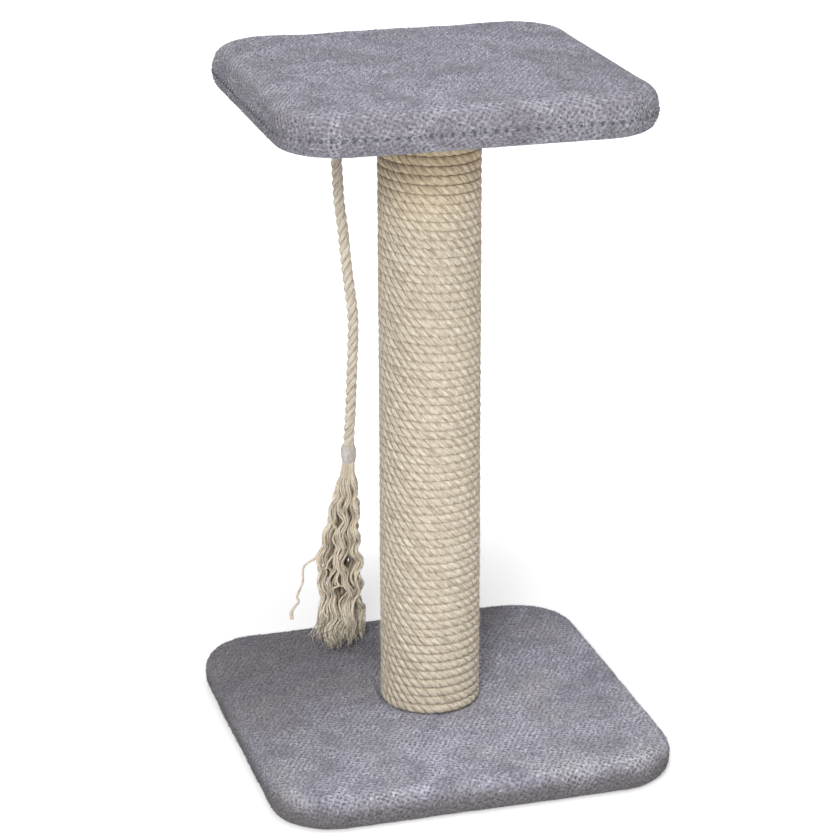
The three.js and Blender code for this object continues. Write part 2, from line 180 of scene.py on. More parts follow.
def tubeFaces(rings, around, turned):
    # quads between rings of points and a cap at each end; turned where the rings run downwards
    faces = []
    for j in range(rings - 1):
        for i in range(around):
            a, b = j * around + i, j * around + (i + 1) % around
            if turned:
                a, b = b, a
            faces.append((a, b, b + around, a + around))
    last = (rings - 1) * around
    caps = (tuple(range(around))[::-1], tuple(range(last, last + around)))
    return faces + [cap[::-1] if turned else cap for cap in caps]


def triples(collection, key):
    values = np.zeros(len(collection) * 3)
    collection.foreach_get(key, values)
    return values.reshape(-1, 3)


def placesOf(piece):
    return triples(piece.data.vertices, "co")


def normalsOf(piece):
    return triples(piece.data.vertex_normals, "vector")


def movePoints(piece, places):
    piece.data.vertices.foreach_set("co", np.asarray(places).ravel())
    piece.data.update()


def storeVectors(piece, name, values):
    attribute = piece.data.attributes.new(name, "FLOAT_VECTOR", "POINT")
    attribute.data.foreach_set("vector", np.asarray(values, float).ravel())


def readVectors(piece, name):
    return triples(piece.data.attributes[name].data, "vector")


def storeNumbers(piece, name, values):
    attribute = piece.data.attributes.new(name, "FLOAT", "POINT")
    attribute.data.foreach_set("value", np.asarray(values, float).ravel())


def noiseAt(points, scale, seed=0.0):
    shift = Vector((seed, seed * 1.7, -seed))
    return np.array([noise.noise(Vector(point) * scale + shift) for point in points])


def lumpsAt(points, waves):
    # the sum of several noises, each with its scale, its height and its seed
    return sum(noiseAt(points, scale, seed) * height for scale, height, seed in waves)


def paint(piece, finish):
    piece.data.materials.clear()
    piece.data.materials.append(finish)


def ease(values, low, high):
    share = np.clip((np.asarray(values, float) - low) / (high - low), 0, 1)
    return share * share * (3 - 2 * share)


# Finishes

def shaderGroup(name, inputs, outputs):
    tree = bpy.data.node_groups.new(name, "ShaderNodeTree")
    for label, kind, value in inputs:
        socket = tree.interface.new_socket(label, in_out="INPUT", socket_type="NodeSocket" + kind)
        if value is not None:
            socket.default_value = value
    for label, kind in outputs:
        tree.interface.new_socket(label, in_out="OUTPUT", socket_type="NodeSocket" + kind)
    start = tree.nodes.new("NodeGroupInput")
    end = tree.nodes.new("NodeGroupOutput")
    return tree, {socket.name: socket for socket in start.outputs if socket.name}, end


def dimpleDistance(tree, cloth, pitch):
    # distance to the nearest dimple, in pitches, and a random number for each dimple's cell; the
    # same nodes serve the finish and the pile
    place = cloth
    for scale, reach in ((60.0, 0.0034), (300.0, 0.0016)):
        bend = addNode(tree, "ShaderNodeTexNoise", {"Vector": cloth, "Scale": scale, "Detail": 1.0})
        shift = vectors(tree, "SCALE",
                        vectors(tree, "SUBTRACT", bend.outputs["Color"], (0.5, 0.5, 0.5)))
        shift.node.inputs["Scale"].default_value = reach
        place = vectors(tree, "ADD", place, shift)
    turned = addNode(tree, "ShaderNodeVectorRotate", {"Vector": place, "Angle": math.radians(31)},
                     rotation_type="Z_AXIS")
    cells = addNode(tree, "ShaderNodeTexVoronoi",
                    {"Vector": turned.outputs[0], "Randomness": 0.36,
                     "Scale": maths(tree, "DIVIDE", 1.0, maths(tree, "MAXIMUM", pitch, 0.0001))},
                    voronoi_dimensions="2D")
    return cells.outputs["Distance"], cells.outputs["Color"]


def makePileGroup():
    # dimples between the tufts, patches where the nap lies another way, and short fibres
    tree, start, end = shaderGroup(
        "pile",
        [("Cloth", "Vector", None), ("Dimple pitch", "Float", 0.0043),
         ("Patch size", "Float", 0.055)],
        [("Dimple", "Float"), ("Patch", "Float"), ("Fibre", "Float"), ("Height", "Float")])
    cloth = start["Cloth"]
    distance, cell = dimpleDistance(tree, cloth, start["Dimple pitch"])
    chance = addNode(tree, "ShaderNodeSeparateColor", {0: cell})
    patches = addNode(tree, "ShaderNodeTexNoise",
                      {"Vector": cloth, "Scale": maths(tree, "DIVIDE", 1.0, start["Patch size"]),
                       "Detail": 4.0, "Roughness": 0.6, "Distortion": 1.2})
    patch = ranged(tree, patches.outputs[0], 0.36, 0.66)
    coarse = addNode(tree, "ShaderNodeTexNoise", {"Vector": cloth, "Scale": 420.0, "Detail": 2.0,
                                                  "Roughness": 0.6, "Distortion": 0.8})
    fibre = maths(tree, "MULTIPLY", ranged(tree, coarse.outputs[0], 0.3, 0.7),
                  ranged(tree, chance.outputs[0], 0.0, 1.0, 0.84, 1.0, "LINEAR"))
    hollow = maths(tree, "MULTIPLY", ranged(tree, distance, 0.54, 0.04),
                   ranged(tree, chance.outputs[1], 0.0, 1.0, 0.6, 1.0, "LINEAR"))
    depth = ranged(tree, patch, 0.0, 1.0, 1.0, 0.7, "LINEAR")
    dimple = maths(tree, "MULTIPLY", hollow, depth)
    height = maths(tree, "SUBTRACT", maths(tree, "MULTIPLY", fibre, 0.5), dimple)
    results = {"Dimple": dimple, "Patch": patch, "Fibre": fibre, "Height": height}
    for label, value in results.items():
        tree.links.new(value, end.inputs[label])
    return tree


def makeGrainGroup():
    # streaks that run along a fibre; Place is stretched by Along in x and by Across in y and z
    tree, start, end = shaderGroup(
        "grain",
        [("Place", "Vector", None), ("Along", "Float", 60.0), ("Across", "Float", 900.0)],
        [("Tone", "Float"), ("Broad", "Float"), ("Height", "Float")])
    stretch = joined(tree, start["Along"], start["Across"], start["Across"])
    place = vectors(tree, "MULTIPLY", start["Place"], stretch)
    fine = addNode(tree, "ShaderNodeTexNoise",
                   {"Vector": place, "Scale": 1.0, "Detail": 3.0, "Roughness": 0.65})
    broad = addNode(tree, "ShaderNodeTexNoise",
                    {"Vector": place, "Scale": 0.23, "Detail": 2.0, "Roughness": 0.5})
    tone = ranged(tree, fine.outputs[0], 0.3, 0.7)
    tree.links.new(tone, end.inputs["Tone"])
    tree.links.new(ranged(tree, broad.outputs[0], 0.32, 0.68), end.inputs["Broad"])
    tree.links.new(fine.outputs[0], end.inputs["Height"])
    return tree


groups = {"pile": makePileGroup(), "grain": makeGrainGroup()}


def shaderOf(finish):
    return finish.node_tree.nodes["Principled BSDF"]


def newFinish(name, roughness, **sockets):
    finish = bpy.data.materials.new(name)
    finish.use_nodes = True
    shader = shaderOf(finish)
    shader.inputs["Roughness"].default_value = roughness
    for label, value in sockets.items():
        shader.inputs[label.replace("_", " ")].default_value = value
    return finish, finish.node_tree


def grouped(tree, name, inputs):
    return addNode(tree, "ShaderNodeGroup", inputs, node_tree=groups[name]).outputs


def attribute(tree, name, output="Fac"):
    return addNode(tree, "ShaderNodeAttribute", attribute_name=name).outputs[output]


def objectPlace(tree):
    return tree.nodes.new("ShaderNodeTexCoord").outputs["Object"]


def mixColour(tree, factor, first, second):
    return addNode(tree, "ShaderNodeMix", {0: factor, 6: first, 7: second},
                   data_type="RGBA").outputs[2]


def multiplied(tree, first, second):
    return addNode(tree, "ShaderNodeMix", {0: 1.0, 6: first, 7: second}, data_type="RGBA",
                   blend_type="MULTIPLY").outputs[2]


def dress(finish, colour, height=None, strength=1.0, distance=0.001):
    # the finish gets its colour, and a bump where a height is given
    tree, shader = finish.node_tree, shaderOf(finish)
    tree.links.new(colour, shader.inputs["Base Color"])
    if height is not None:
        bump = addNode(tree, "ShaderNodeBump",
                       {"Height": height, "Strength": strength, "Distance": distance})
        tree.links.new(bump.outputs[0], shader.inputs["Normal"])
    return finish


plushLook = {
    "pile": (0.86, 0.843, 1.0, 1),
    "napLaid": (0.53, 0.516, 0.62, 1),
    # painted shade in the dimples between the tufts
    "dimple": (0.19, 0.178, 0.215, 1),
    "warm": (0.82, 0.80, 0.87, 1),
    # the dark warm colour for the nap's dark lie and for painted shade low on the base's sides
    "low": (0.22, 0.198, 0.20, 1),
}


def makePlush(name, onHairs):
    # "cloth" is the place on the flat cloth, "napAndShade" how far the nap and painted shade darken
    # it,
    # "warmth" how far it is tinted, "tone" a hair's own
    finish, tree = newFinish(name, 0.95, Sheen_Weight=0.1, Sheen_Roughness=0.5,
                             Specular_IOR_Level=0.12)
    cloth = attribute(tree, "cloth", "Vector")
    pile = grouped(tree, "pile", {"Cloth": cloth})
    base = mixColour(tree, pile["Patch"], plushLook["pile"], plushLook["napLaid"])
    tint = addNode(tree, "ShaderNodeTexNoise", {"Vector": cloth, "Scale": 15.0, "Detail": 2.0})
    warmth = attribute(tree, "warmth")
    share = maths(tree, "MULTIPLY", ranged(tree, tint.outputs[0], 0.42, 0.72), warmth)
    warm = mixColour(tree, share, base, plushLook["warm"])
    # painted shade, with the nap's dark lie: the colour goes towards the low colour by napAndShade
    swept = mixColour(tree, attribute(tree, "napAndShade"), warm, plushLook["low"])
    # painted shade: the colour goes to the dark dimple colour in the dimples between the tufts
    if onHairs:
        tone = ranged(tree, attribute(tree, "tone"), 0.0, 1.0, 0.42, 1.35, "LINEAR")
        bright = maths(tree, "MULTIPLY", tone,
                       ranged(tree, pile["Fibre"], 0.0, 1.0, 0.6, 1.35, "LINEAR"))
        lit = mixColour(tree, maths(tree, "MULTIPLY", pile["Dimple"], 0.72), swept,
                        plushLook["dimple"])
    else:
        bright = ranged(tree, pile["Fibre"], 0.0, 1.0, 0.5, 1.05, "LINEAR")
        lit = mixColour(tree, pile["Dimple"], swept, plushLook["dimple"])
    shaded = multiplied(tree, lit, bright)
    return dress(finish, shaded, None if onHairs else pile["Height"], 1.0, 0.0018)


sisalLook = {
    "pale": (0.90, 0.82, 0.68, 1),
    "straw": (0.50, 0.41, 0.29, 1),
    "brown": (0.20, 0.14, 0.085, 1),
    "shade": (1.0, 0.90, 0.74, 1),
}


def makeSisal(name, pale, straw, onStrands=True, along=110.0, across=620.0, onPost=False, edges=0.4,
              grooveShade=0.42):
    # "strand" runs along the rope, "valley" is 1 between its strands, "innerShade" is painted
    # shade, 1 inside the tassel
    finish, tree = newFinish(name, 0.82, Specular_IOR_Level=0.3, Sheen_Weight=0.15)
    where = attribute(tree, "strand", "Vector") if onStrands else objectPlace(tree)
    grain = grouped(tree, "grain", {"Place": where, "Along": along, "Across": across})
    base = mixColour(tree, grain["Tone"], straw, pale)
    spots = grouped(tree, "grain", {"Place": where, "Along": 60.0, "Across": 420.0})
    rare = ranged(tree, spots["Tone"], 0.72, 1.0)
    worn = mixColour(tree, maths(tree, "MULTIPLY", rare, 0.45), base, sisalLook["brown"])
    valley, innerShade = attribute(tree, "valley"), attribute(tree, "innerShade")
    edge = addNode(tree, "ShaderNodeLayerWeight", {"Blend": 0.3}).outputs["Facing"]
    if onPost:
        # painted shade: the grooves between the strands are darker on one side of the post, where
        # light grazes them
        side = addNode(tree, "ShaderNodeVectorMath", {0: objectPlace(tree), 1: (-0.96, 0.28, 0.0)},
                       operation="DOT_PRODUCT").outputs["Value"]
        grooveShade = ranged(tree, side, -0.012, 0.036, 0.26, 0.85)
    # painted shade: darker between the strands by grooveShade, and towards the edges, where the
    # surface turns from view, by edges
    dark = maths(tree, "ADD", maths(tree, "MULTIPLY", ranged(tree, valley, 0.5, 1.0), grooveShade),
                 maths(tree, "MULTIPLY", ranged(tree, edge, 0.45, 1.0), edges))
    dark = maths(tree, "MINIMUM", maths(tree, "ADD", dark, innerShade), 0.92)
    colour = mixColour(tree, dark, worn, sisalLook["brown"])
    if onPost:
        # and painted shade: the rope is darker and warmer under the platform
        upper = ranged(tree, parted(tree, objectPlace(tree))[2], 0.46, 0.57)
        shade = mixColour(tree, upper, (1, 1, 1, 1), sisalLook["shade"])
        colour = multiplied(tree, colour, shade)
    return dress(finish, colour, grain["Height"], 1.0, 0.0015)


def makeBoard():
    # raw particle board: flakes of a few millimetres
    finish, tree = newFinish("particleBoard", 0.85, Specular_IOR_Level=0.2)
    place = objectPlace(tree)
    flakes = addNode(tree, "ShaderNodeTexVoronoi", {"Vector": place, "Scale": 320.0})
    tone = addNode(tree, "ShaderNodeTexNoise", {"Vector": place, "Scale": 140.0, "Detail": 4.0})
    speck = addNode(tree, "ShaderNodeSeparateColor", {0: flakes.outputs["Color"]}).outputs[0]
    mixed = mixColour(tree, speck, (0.44, 0.30, 0.17, 1), (0.68, 0.52, 0.34, 1))
    shade = ranged(tree, tone.outputs[0], 0.35, 0.7)
    dark = mixColour(tree, maths(tree, "MULTIPLY", shade, 0.5), mixed, (0.30, 0.20, 0.11, 1))
    return dress(finish, dark, speck, 0.3, 0.0004)


def makeFoam():
    finish, tree = newFinish("foam", 0.95, Specular_IOR_Level=0.1)
    cells = addNode(tree, "ShaderNodeTexVoronoi", {"Vector": objectPlace(tree), "Scale": 900.0})
    depth = cells.outputs["Distance"]
    mixed = mixColour(tree, depth, (0.62, 0.56, 0.40, 1), (0.86, 0.81, 0.66, 1))
    return dress(finish, mixed, depth, 0.5, 0.0006)


# finishes that are two colours mixed by their grain: how the grain is stretched, its bump and
# the range of its roughness, where they have them
grainLooks = {
    "cardboard": {
        "name": "tubeBoard", "roughness": 0.9, "sockets": {"Specular_IOR_Level": 0.2},
        "stretch": (120.0, 30.0), "mask": "Tone", "bump": (0.2, 0.0003),
        "colours": ((0.40, 0.28, 0.17, 1), (0.52, 0.38, 0.24, 1))},
    "steel": {
        "name": "zincSteel", "roughness": 0.38, "sockets": {"Metallic": 1.0},
        "stretch": (400.0, 400.0), "mask": "Broad", "bump": (0.05, 0.0002), "rough": (0.3, 0.48),
        "colours": ((0.52, 0.53, 0.55, 1), (0.70, 0.71, 0.72, 1))},
    "binding": {
        "name": "binding", "roughness": 0.5,
        "sockets": {"Subsurface_Weight": 0.2, "Subsurface_Scale": 0.002},
        "stretch": (260.0, 200.0), "mask": "Tone", "bump": (0.35, 0.0008),
        "colours": ((0.48, 0.445, 0.40, 1), (0.70, 0.66, 0.61, 1))},
    "thread": {
        "name": "seamThread", "roughness": 0.8, "sockets": {"Sheen_Weight": 0.1},
        "stretch": (900.0, 900.0), "mask": "Tone",
        "colours": ((0.05, 0.047, 0.06, 1), (0.12, 0.115, 0.14, 1))},
}


def makeGrained(look):
    finish, tree = newFinish(look["name"], look["roughness"], **look["sockets"])
    along, across = look["stretch"]
    grain = grouped(tree, "grain", {"Place": objectPlace(tree), "Along": along, "Across": across})
    mixed = mixColour(tree, grain[look["mask"]], *look["colours"])
    if "rough" in look:
        rough = ranged(tree, grain["Tone"], 0.0, 1.0, *look["rough"], "LINEAR")
        tree.links.new(rough, shaderOf(finish).inputs["Roughness"])
    return dress(finish, mixed, grain["Height"] if "bump" in look else None, *look.get("bump", ()))


finishes = {
    "plush": makePlush("plush", False),
    "pile": makePlush("plushPile", True),
    "sisal": makeSisal("sisalWound", sisalLook["pale"], sisalLook["straw"], along=230.0,
                       across=1100.0, onPost=True, edges=0.5),
    "toySisal": makeSisal("sisalToy", (1.0, 0.96, 0.85, 1), (0.66, 0.54, 0.38, 1), along=130.0,
                          across=720.0, edges=0.12, grooveShade=0.42),
    "yarn": makeSisal("sisalYarn", (0.99, 0.91, 0.76, 1), (0.78, 0.65, 0.47, 1), edges=0.5,
                      grooveShade=0.12),
    "fibre": makeSisal("sisalFibre", (1.0, 0.98, 0.93, 1), (1.0, 0.94, 0.84, 1), False,
                       edges=0.0, grooveShade=0.0),
    "tips": makeSisal("sisalTips", (1.0, 0.93, 0.78, 1), (0.94, 0.83, 0.63, 1), edges=0.0,
                      grooveShade=0.0),
    "board": makeBoard(),
    "foam": makeFoam(),
    **{name: makeGrained(look) for name, look in grainLooks.items()},
}
print("finishes made")


# Geometry Nodes trees

def stored(tree, geometry, name, value, kind="FLOAT"):
    inputs = {"Geometry": geometry, "Name": name, "Value": value}
    return addNode(tree, "GeometryNodeStoreNamedAttribute", inputs, data_type=kind,
                   domain="POINT").outputs[0]


def named(tree, name, kind="FLOAT"):
    return addNode(tree, "GeometryNodeInputNamedAttribute", {"Name": name},
                   data_type=kind).outputs[0]


def makeLaidRopeTree():
    # Sweeps a three-strand section along lines, turning once every Lay; "thick" scales it on the
    # way. Squash scales its height, and Half height cuts it flat where turns press on each other.
    tree, start = geometryTree("laidRope", [
        ("Radius", "Float"), ("Lay", "Float"), ("Groove", "Float"), ("Step", "Float"),
        ("Squash", "Float"), ("Half height", "Float"), ("Sides", "Int"), ("Finish", "Material")])
    line = addNode(tree, "GeometryNodeMeshToCurve", {"Mesh": start["Geometry"]}).outputs[0]
    line = addNode(tree, "GeometryNodeResampleCurve", mode="LENGTH",
                   inputs={"Curve": line, "Length": start["Step"]}).outputs[0]
    run = addNode(tree, "GeometryNodeSplineParameter").outputs["Length"]
    turn = maths(tree, "MULTIPLY", maths(tree, "DIVIDE", run, start["Lay"]), 2 * math.pi)
    line = addNode(tree, "GeometryNodeSetCurveTilt", {"Curve": line, "Tilt": turn}).outputs[0]
    place = addNode(tree, "GeometryNodeInputPosition").outputs[0]
    line = stored(tree, line, "core", place, "FLOAT_VECTOR")
    line = stored(tree, line, "run", run)

    ring = addNode(tree, "GeometryNodeCurvePrimitiveCircle",
                   {"Resolution": start["Sides"], "Radius": start["Radius"]}).outputs[0]
    flat = parted(tree, place)
    angle = maths(tree, "ARCTAN2", flat[1], flat[0])
    lobe = maths(tree, "ABSOLUTE", maths(tree, "COSINE", maths(tree, "MULTIPLY", angle, 1.5)))
    reach = maths(tree, "MULTIPLY_ADD", lobe, start["Groove"],
                  maths(tree, "SUBTRACT", 1.0, start["Groove"]))
    shaped = vectors(tree, "SCALE", place)
    tree.links.new(reach, shaped.node.inputs["Scale"])
    ring = stored(tree, ring, "valley", maths(tree, "SUBTRACT", 1.0, lobe))
    ring = addNode(tree, "GeometryNodeSetPosition",
                   {"Geometry": ring, "Position": shaped}).outputs[0]
    ring = stored(tree, ring, "around", place, "FLOAT_VECTOR")

    swept = addNode(tree, "GeometryNodeCurveToMesh",
                    {"Curve": line, "Profile Curve": ring, "Scale": named(tree, "thick"),
                     "Fill Caps": True}).outputs[0]
    core = named(tree, "core", "FLOAT_VECTOR")
    offset = parted(tree, vectors(tree, "SUBTRACT", place, core))
    height = maths(tree, "MULTIPLY", offset[2], start["Squash"])
    height = maths(tree, "MINIMUM", height, start["Half height"])
    height = maths(tree, "MAXIMUM", height, maths(tree, "MULTIPLY", start["Half height"], -1.0))
    pressed = vectors(tree, "ADD", joined(tree, offset[0], offset[1], height), core)
    swept = addNode(tree, "GeometryNodeSetPosition",
                    {"Geometry": swept, "Position": pressed}).outputs[0]
    # the fibres lie a little flatter along the rope than its strands
    flatter = 0.3
    untwist = maths(tree, "MULTIPLY", named(tree, "run"),
                    maths(tree, "DIVIDE", 2 * math.pi * flatter, start["Lay"]))
    fixed = addNode(tree, "ShaderNodeVectorRotate", rotation_type="Z_AXIS",
                    inputs={"Vector": named(tree, "around", "FLOAT_VECTOR"), "Angle": untwist})
    around = parted(tree, fixed.outputs[0])
    strand = joined(tree, named(tree, "run"), around[0], around[1])
    swept = stored(tree, swept, "strand", strand, "FLOAT_VECTOR")
    endTree(tree, swept, start["Finish"])
    return tree


def randomNumber(tree, low, high, seed):
    return addNode(tree, "FunctionNodeRandomValue", {2: low, 3: high, "Seed": seed},
                   data_type="FLOAT").outputs[1]


def makeHairTree():
    # short straight hairs spread over a surface, leaning from it; none where "bare" is 1, nor in
    # the dimples when there is a Dimple pitch
    tree, start = geometryTree("shortHairs", [
        ("Density", "Float"), ("Length", "Float"), ("Thickness", "Float"), ("Lean", "Float"),
        ("Lean spread", "Float"), ("Dimple pitch", "Float"), ("Seed", "Int"),
        ("Finish", "Material")])
    density = maths(tree, "MULTIPLY", start["Density"],
                    maths(tree, "SUBTRACT", 1.0, named(tree, "bare")))
    points = addNode(tree, "GeometryNodeDistributePointsOnFaces", distribute_method="RANDOM",
                     inputs={"Mesh": start["Geometry"], "Density": density, "Seed": start["Seed"]})
    cloth = named(tree, "cloth", "FLOAT_VECTOR")
    distance, _ = dimpleDistance(tree, cloth, start["Dimple pitch"])
    hollow = maths(tree, "MULTIPLY", maths(tree, "GREATER_THAN", start["Dimple pitch"], 0.0), 0.12)
    kept = addNode(tree, "GeometryNodeDeleteGeometry", domain="POINT",
                   inputs={"Geometry": points.outputs[0],
                           "Selection": maths(tree, "LESS_THAN", distance, hollow)}).outputs[0]
    hair = addNode(tree, "GeometryNodeMeshCone", fill_type="NGON",
                   inputs={"Vertices": 3, "Radius Top": 0.0, "Radius Bottom": start["Thickness"],
                           "Depth": start["Length"]}).outputs[0]
    spin = joined(tree, 0.0, 0.0, randomNumber(tree, 0.0, 2 * math.pi, 3))
    low = maths(tree, "SUBTRACT", start["Lean"], start["Lean spread"])
    high = maths(tree, "ADD", start["Lean"], start["Lean spread"])
    lean = joined(tree, randomNumber(tree, low, high, 5), 0.0, 0.0)
    kept = stored(tree, kept, "tone", randomNumber(tree, 0.0, 1.0, 9))
    turned = points.outputs["Rotation"]
    for step in (spin, lean):
        by = addNode(tree, "FunctionNodeEulerToRotation", {0: step}).outputs[0]
        turned = addNode(tree, "FunctionNodeRotateRotation", rotation_space="LOCAL",
                         inputs={"Rotation": turned, "Rotate By": by}).outputs[0]
    size = joined(tree, 1.0, 1.0, randomNumber(tree, 0.45, 1.3, 7))
    hairs = addNode(tree, "GeometryNodeInstanceOnPoints",
                    {"Points": kept, "Instance": hair, "Rotation": turned,
                     "Scale": size}).outputs[0]
    endTree(tree, hairs, start["Finish"])
    return tree


def makeStitchTree():
    # one stitch every Spacing along a line
    tree, start = geometryTree("stitches", [
        ("Spacing", "Float"), ("Length", "Float"), ("Thickness", "Float"), ("Finish", "Material")])
    line = addNode(tree, "GeometryNodeMeshToCurve", {"Mesh": start["Geometry"]}).outputs[0]
    line = addNode(tree, "GeometryNodeResampleCurve", mode="LENGTH",
                   inputs={"Curve": line, "Length": start["Spacing"]}).outputs[0]
    ball = addNode(tree, "GeometryNodeMeshUVSphere", {"Segments": 8, "Rings": 6, "Radius": 0.5})
    size = joined(tree, start["Length"], start["Thickness"], start["Thickness"])
    tangent = addNode(tree, "GeometryNodeInputTangent").outputs[0]
    turned = addNode(tree, "FunctionNodeAlignRotationToVector", {"Vector": tangent},
                     axis="X").outputs[0]
    row = addNode(tree, "GeometryNodeInstanceOnPoints",
                  {"Points": line, "Instance": ball.outputs[0], "Rotation": turned,
                   "Scale": size}).outputs[0]
    endTree(tree, row, start["Finish"])
    return tree


trees = {"rope": makeLaidRopeTree(), "hairs": makeHairTree(), "stitches": makeStitchTree()}


def linePiece(name, lines, thick=None, innerShade=None):
    # several open lines as one mesh of edges
    points = np.concatenate(lines)
    edges = []
    first = 0
    for line in lines:
        edges += [(first + i, first + i + 1) for i in range(len(line) - 1)]
        first += len(line)
    piece = meshPiece(name, points, [], edges)
    storeNumbers(piece, "thick", np.ones(len(points)) if thick is None else np.concatenate(thick))
    storeNumbers(piece, "innerShade", np.zeros(len(points)) if innerShade is None else np.concatenate(innerShade))
    return piece


def layRope(name, lines, values, thick=None, innerShade=None):
    piece = linePiece(name, lines, thick, innerShade)
    useTree(piece, trees["rope"], {"Squash": 1.0, "Half height": 1.0, **values})
    settle(piece, ("core", "run", "around", "thick"))
    return piece


def growHairs(name, surface, values):
    piece = addObject(name, surface.data.copy())
    useTree(piece, trees["hairs"], {"Dimple pitch": 0.0, **values})
    return settle(piece, ("bare", "valley", "strand"))


def smoothPath(points, step):
    # a smooth line through the points, with a point every step
    points = np.asarray(points, float)
    ends = np.vstack([2 * points[0] - points[1], points, 2 * points[-1] - points[-2]])
    share = np.linspace(0, 1, 24, endpoint=False)[:, None]
    dense = []
    for i in range(len(points) - 1):
        p0, p1, p2, p3 = ends[i:i + 4]
        dense.append(0.5 * (2 * p1 + (p2 - p0) * share
                            + (2 * p0 - 5 * p1 + 4 * p2 - p3) * share ** 2
                            + (3 * p1 - p0 - 3 * p2 + p3) * share ** 3))
    dense = np.vstack(dense + [points[-1:]])
    run = np.concatenate([[0], np.cumsum(np.linalg.norm(np.diff(dense, axis=0), axis=1))])
    count = max(2, round(run[-1] / step))
    at = np.linspace(0, run[-1], count + 1)
    return np.stack([np.interp(at, run, dense[:, k]) for k in range(3)], axis=1)


# Rope toy: the middle of the rope below the platform, from the hang point, top to bottom
toy = {
    "hang": (-0.055, 0.125, 0.5816),
    "neck": 0.025,
    "radius": 0.0054,
    "diameter": 0.010,
    "lay": 0.0270,
    "groove": 0.35,
    "route": [
        (0, 0, -0.025), (0.0014, -0.0004, -0.045), (0.0043, -0.0013, -0.077),
        (0.0061, -0.0017, -0.112), (0.0092, -0.0026, -0.140), (0.0115, -0.0033, -0.168),
        (0.0146, -0.0042, -0.197), (0.0170, -0.0049, -0.225), (0.0163, -0.0047, -0.254),
        (0.0150, -0.0043, -0.283), (0.0138, -0.0040, -0.312), (0.0118, -0.0034, -0.345),
    ],
    "collarLength": 0.0165,
    "collarRadius": 0.0078,
    "bow": (0.96, -0.28),
    # the tassel's middle below the collar: depth, shift along the bow, radius
    "tassel": [
        (0.000, 0.0090, 0.0066), (0.009, 0.0084, 0.0076), (0.024, 0.0074, 0.0105),
        (0.039, 0.0060, 0.0138), (0.069, 0.0020, 0.0178), (0.096, -0.0006, 0.0226),
        (0.112, -0.0006, 0.0236), (0.128, 0.0004, 0.0226), (0.142, 0.0008, 0.0216),
        (0.155, 0.0012, 0.0252), (0.168, -0.0008, 0.0234), (0.178, -0.0024, 0.0200),
        (0.183, -0.0030, 0.0170),
    ],
    "coreThick": 0.8,
}
hang = np.array(toy["hang"])
ropeEnd = hang + np.array(toy["route"][-1])
tasselTop = ropeEnd - np.array([0, 0, toy["collarLength"] + 0.0006])
tasselTable = np.array(toy["tassel"])


def tasselAt(depth):
    shift = np.interp(depth, tasselTable[:, 0], tasselTable[:, 1]) - tasselTable[0, 1]
    radius = np.interp(depth, tasselTable[:, 0], tasselTable[:, 2])
    bowX, bowY = toy["bow"]
    middle = np.stack([tasselTop[0] + shift * bowX, tasselTop[1] + shift * bowY,
                       tasselTop[2] - depth], axis=-1)
    return middle, radius


def makeToyRope():
    # the laid rope down to its collar, and on through the tassel as its inner yarns
    coreDepths = np.array([0.012, 0.040, 0.070, 0.100, 0.130, 0.160, 0.178])
    core, _ = tasselAt(coreDepths)
    points = np.vstack([hang, hang - [0, 0, toy["neck"] / 2], hang + np.array(toy["route"]), core])
    path = smoothPath(points, 0.002)
    thin = ease(ropeEnd[2] - path[:, 2], 0.0, 0.02)
    thick = 1 - (1 - toy["coreThick"]) * thin
    rope = layRope("toyRope", [path], {
        "Radius": toy["radius"], "Lay": toy["lay"], "Groove": toy["groove"], "Step": 0.0012,
        "Sides": 30, "Finish": finishes["toySisal"]}, [thick])
    return rope, path


toyRope, toyPath = makeToyRope()

yarns = {
    "count": 66,
    "clumps": 7,
    "radius": 0.00135,
    "wave": 0.0245,
    "waveDepth": 0.0024,
    "shortest": 0.160,
    "longest": 0.180,
    "lowest": 0.0362,
    "turn": 2.39996,
    "seed": 11,
    # where the outer yarns part and the inside shows: angle, depth, length, how far
    "gaps": [(-2.65, 0.058, 0.014, 0.55), (-2.75, 0.088, 0.012, 0.5), (-1.15, 0.098, 0.007, 0.4),
             (-1.9, 0.124, 0.008, 0.35), (-0.75, 0.150, 0.007, 0.4)],
}


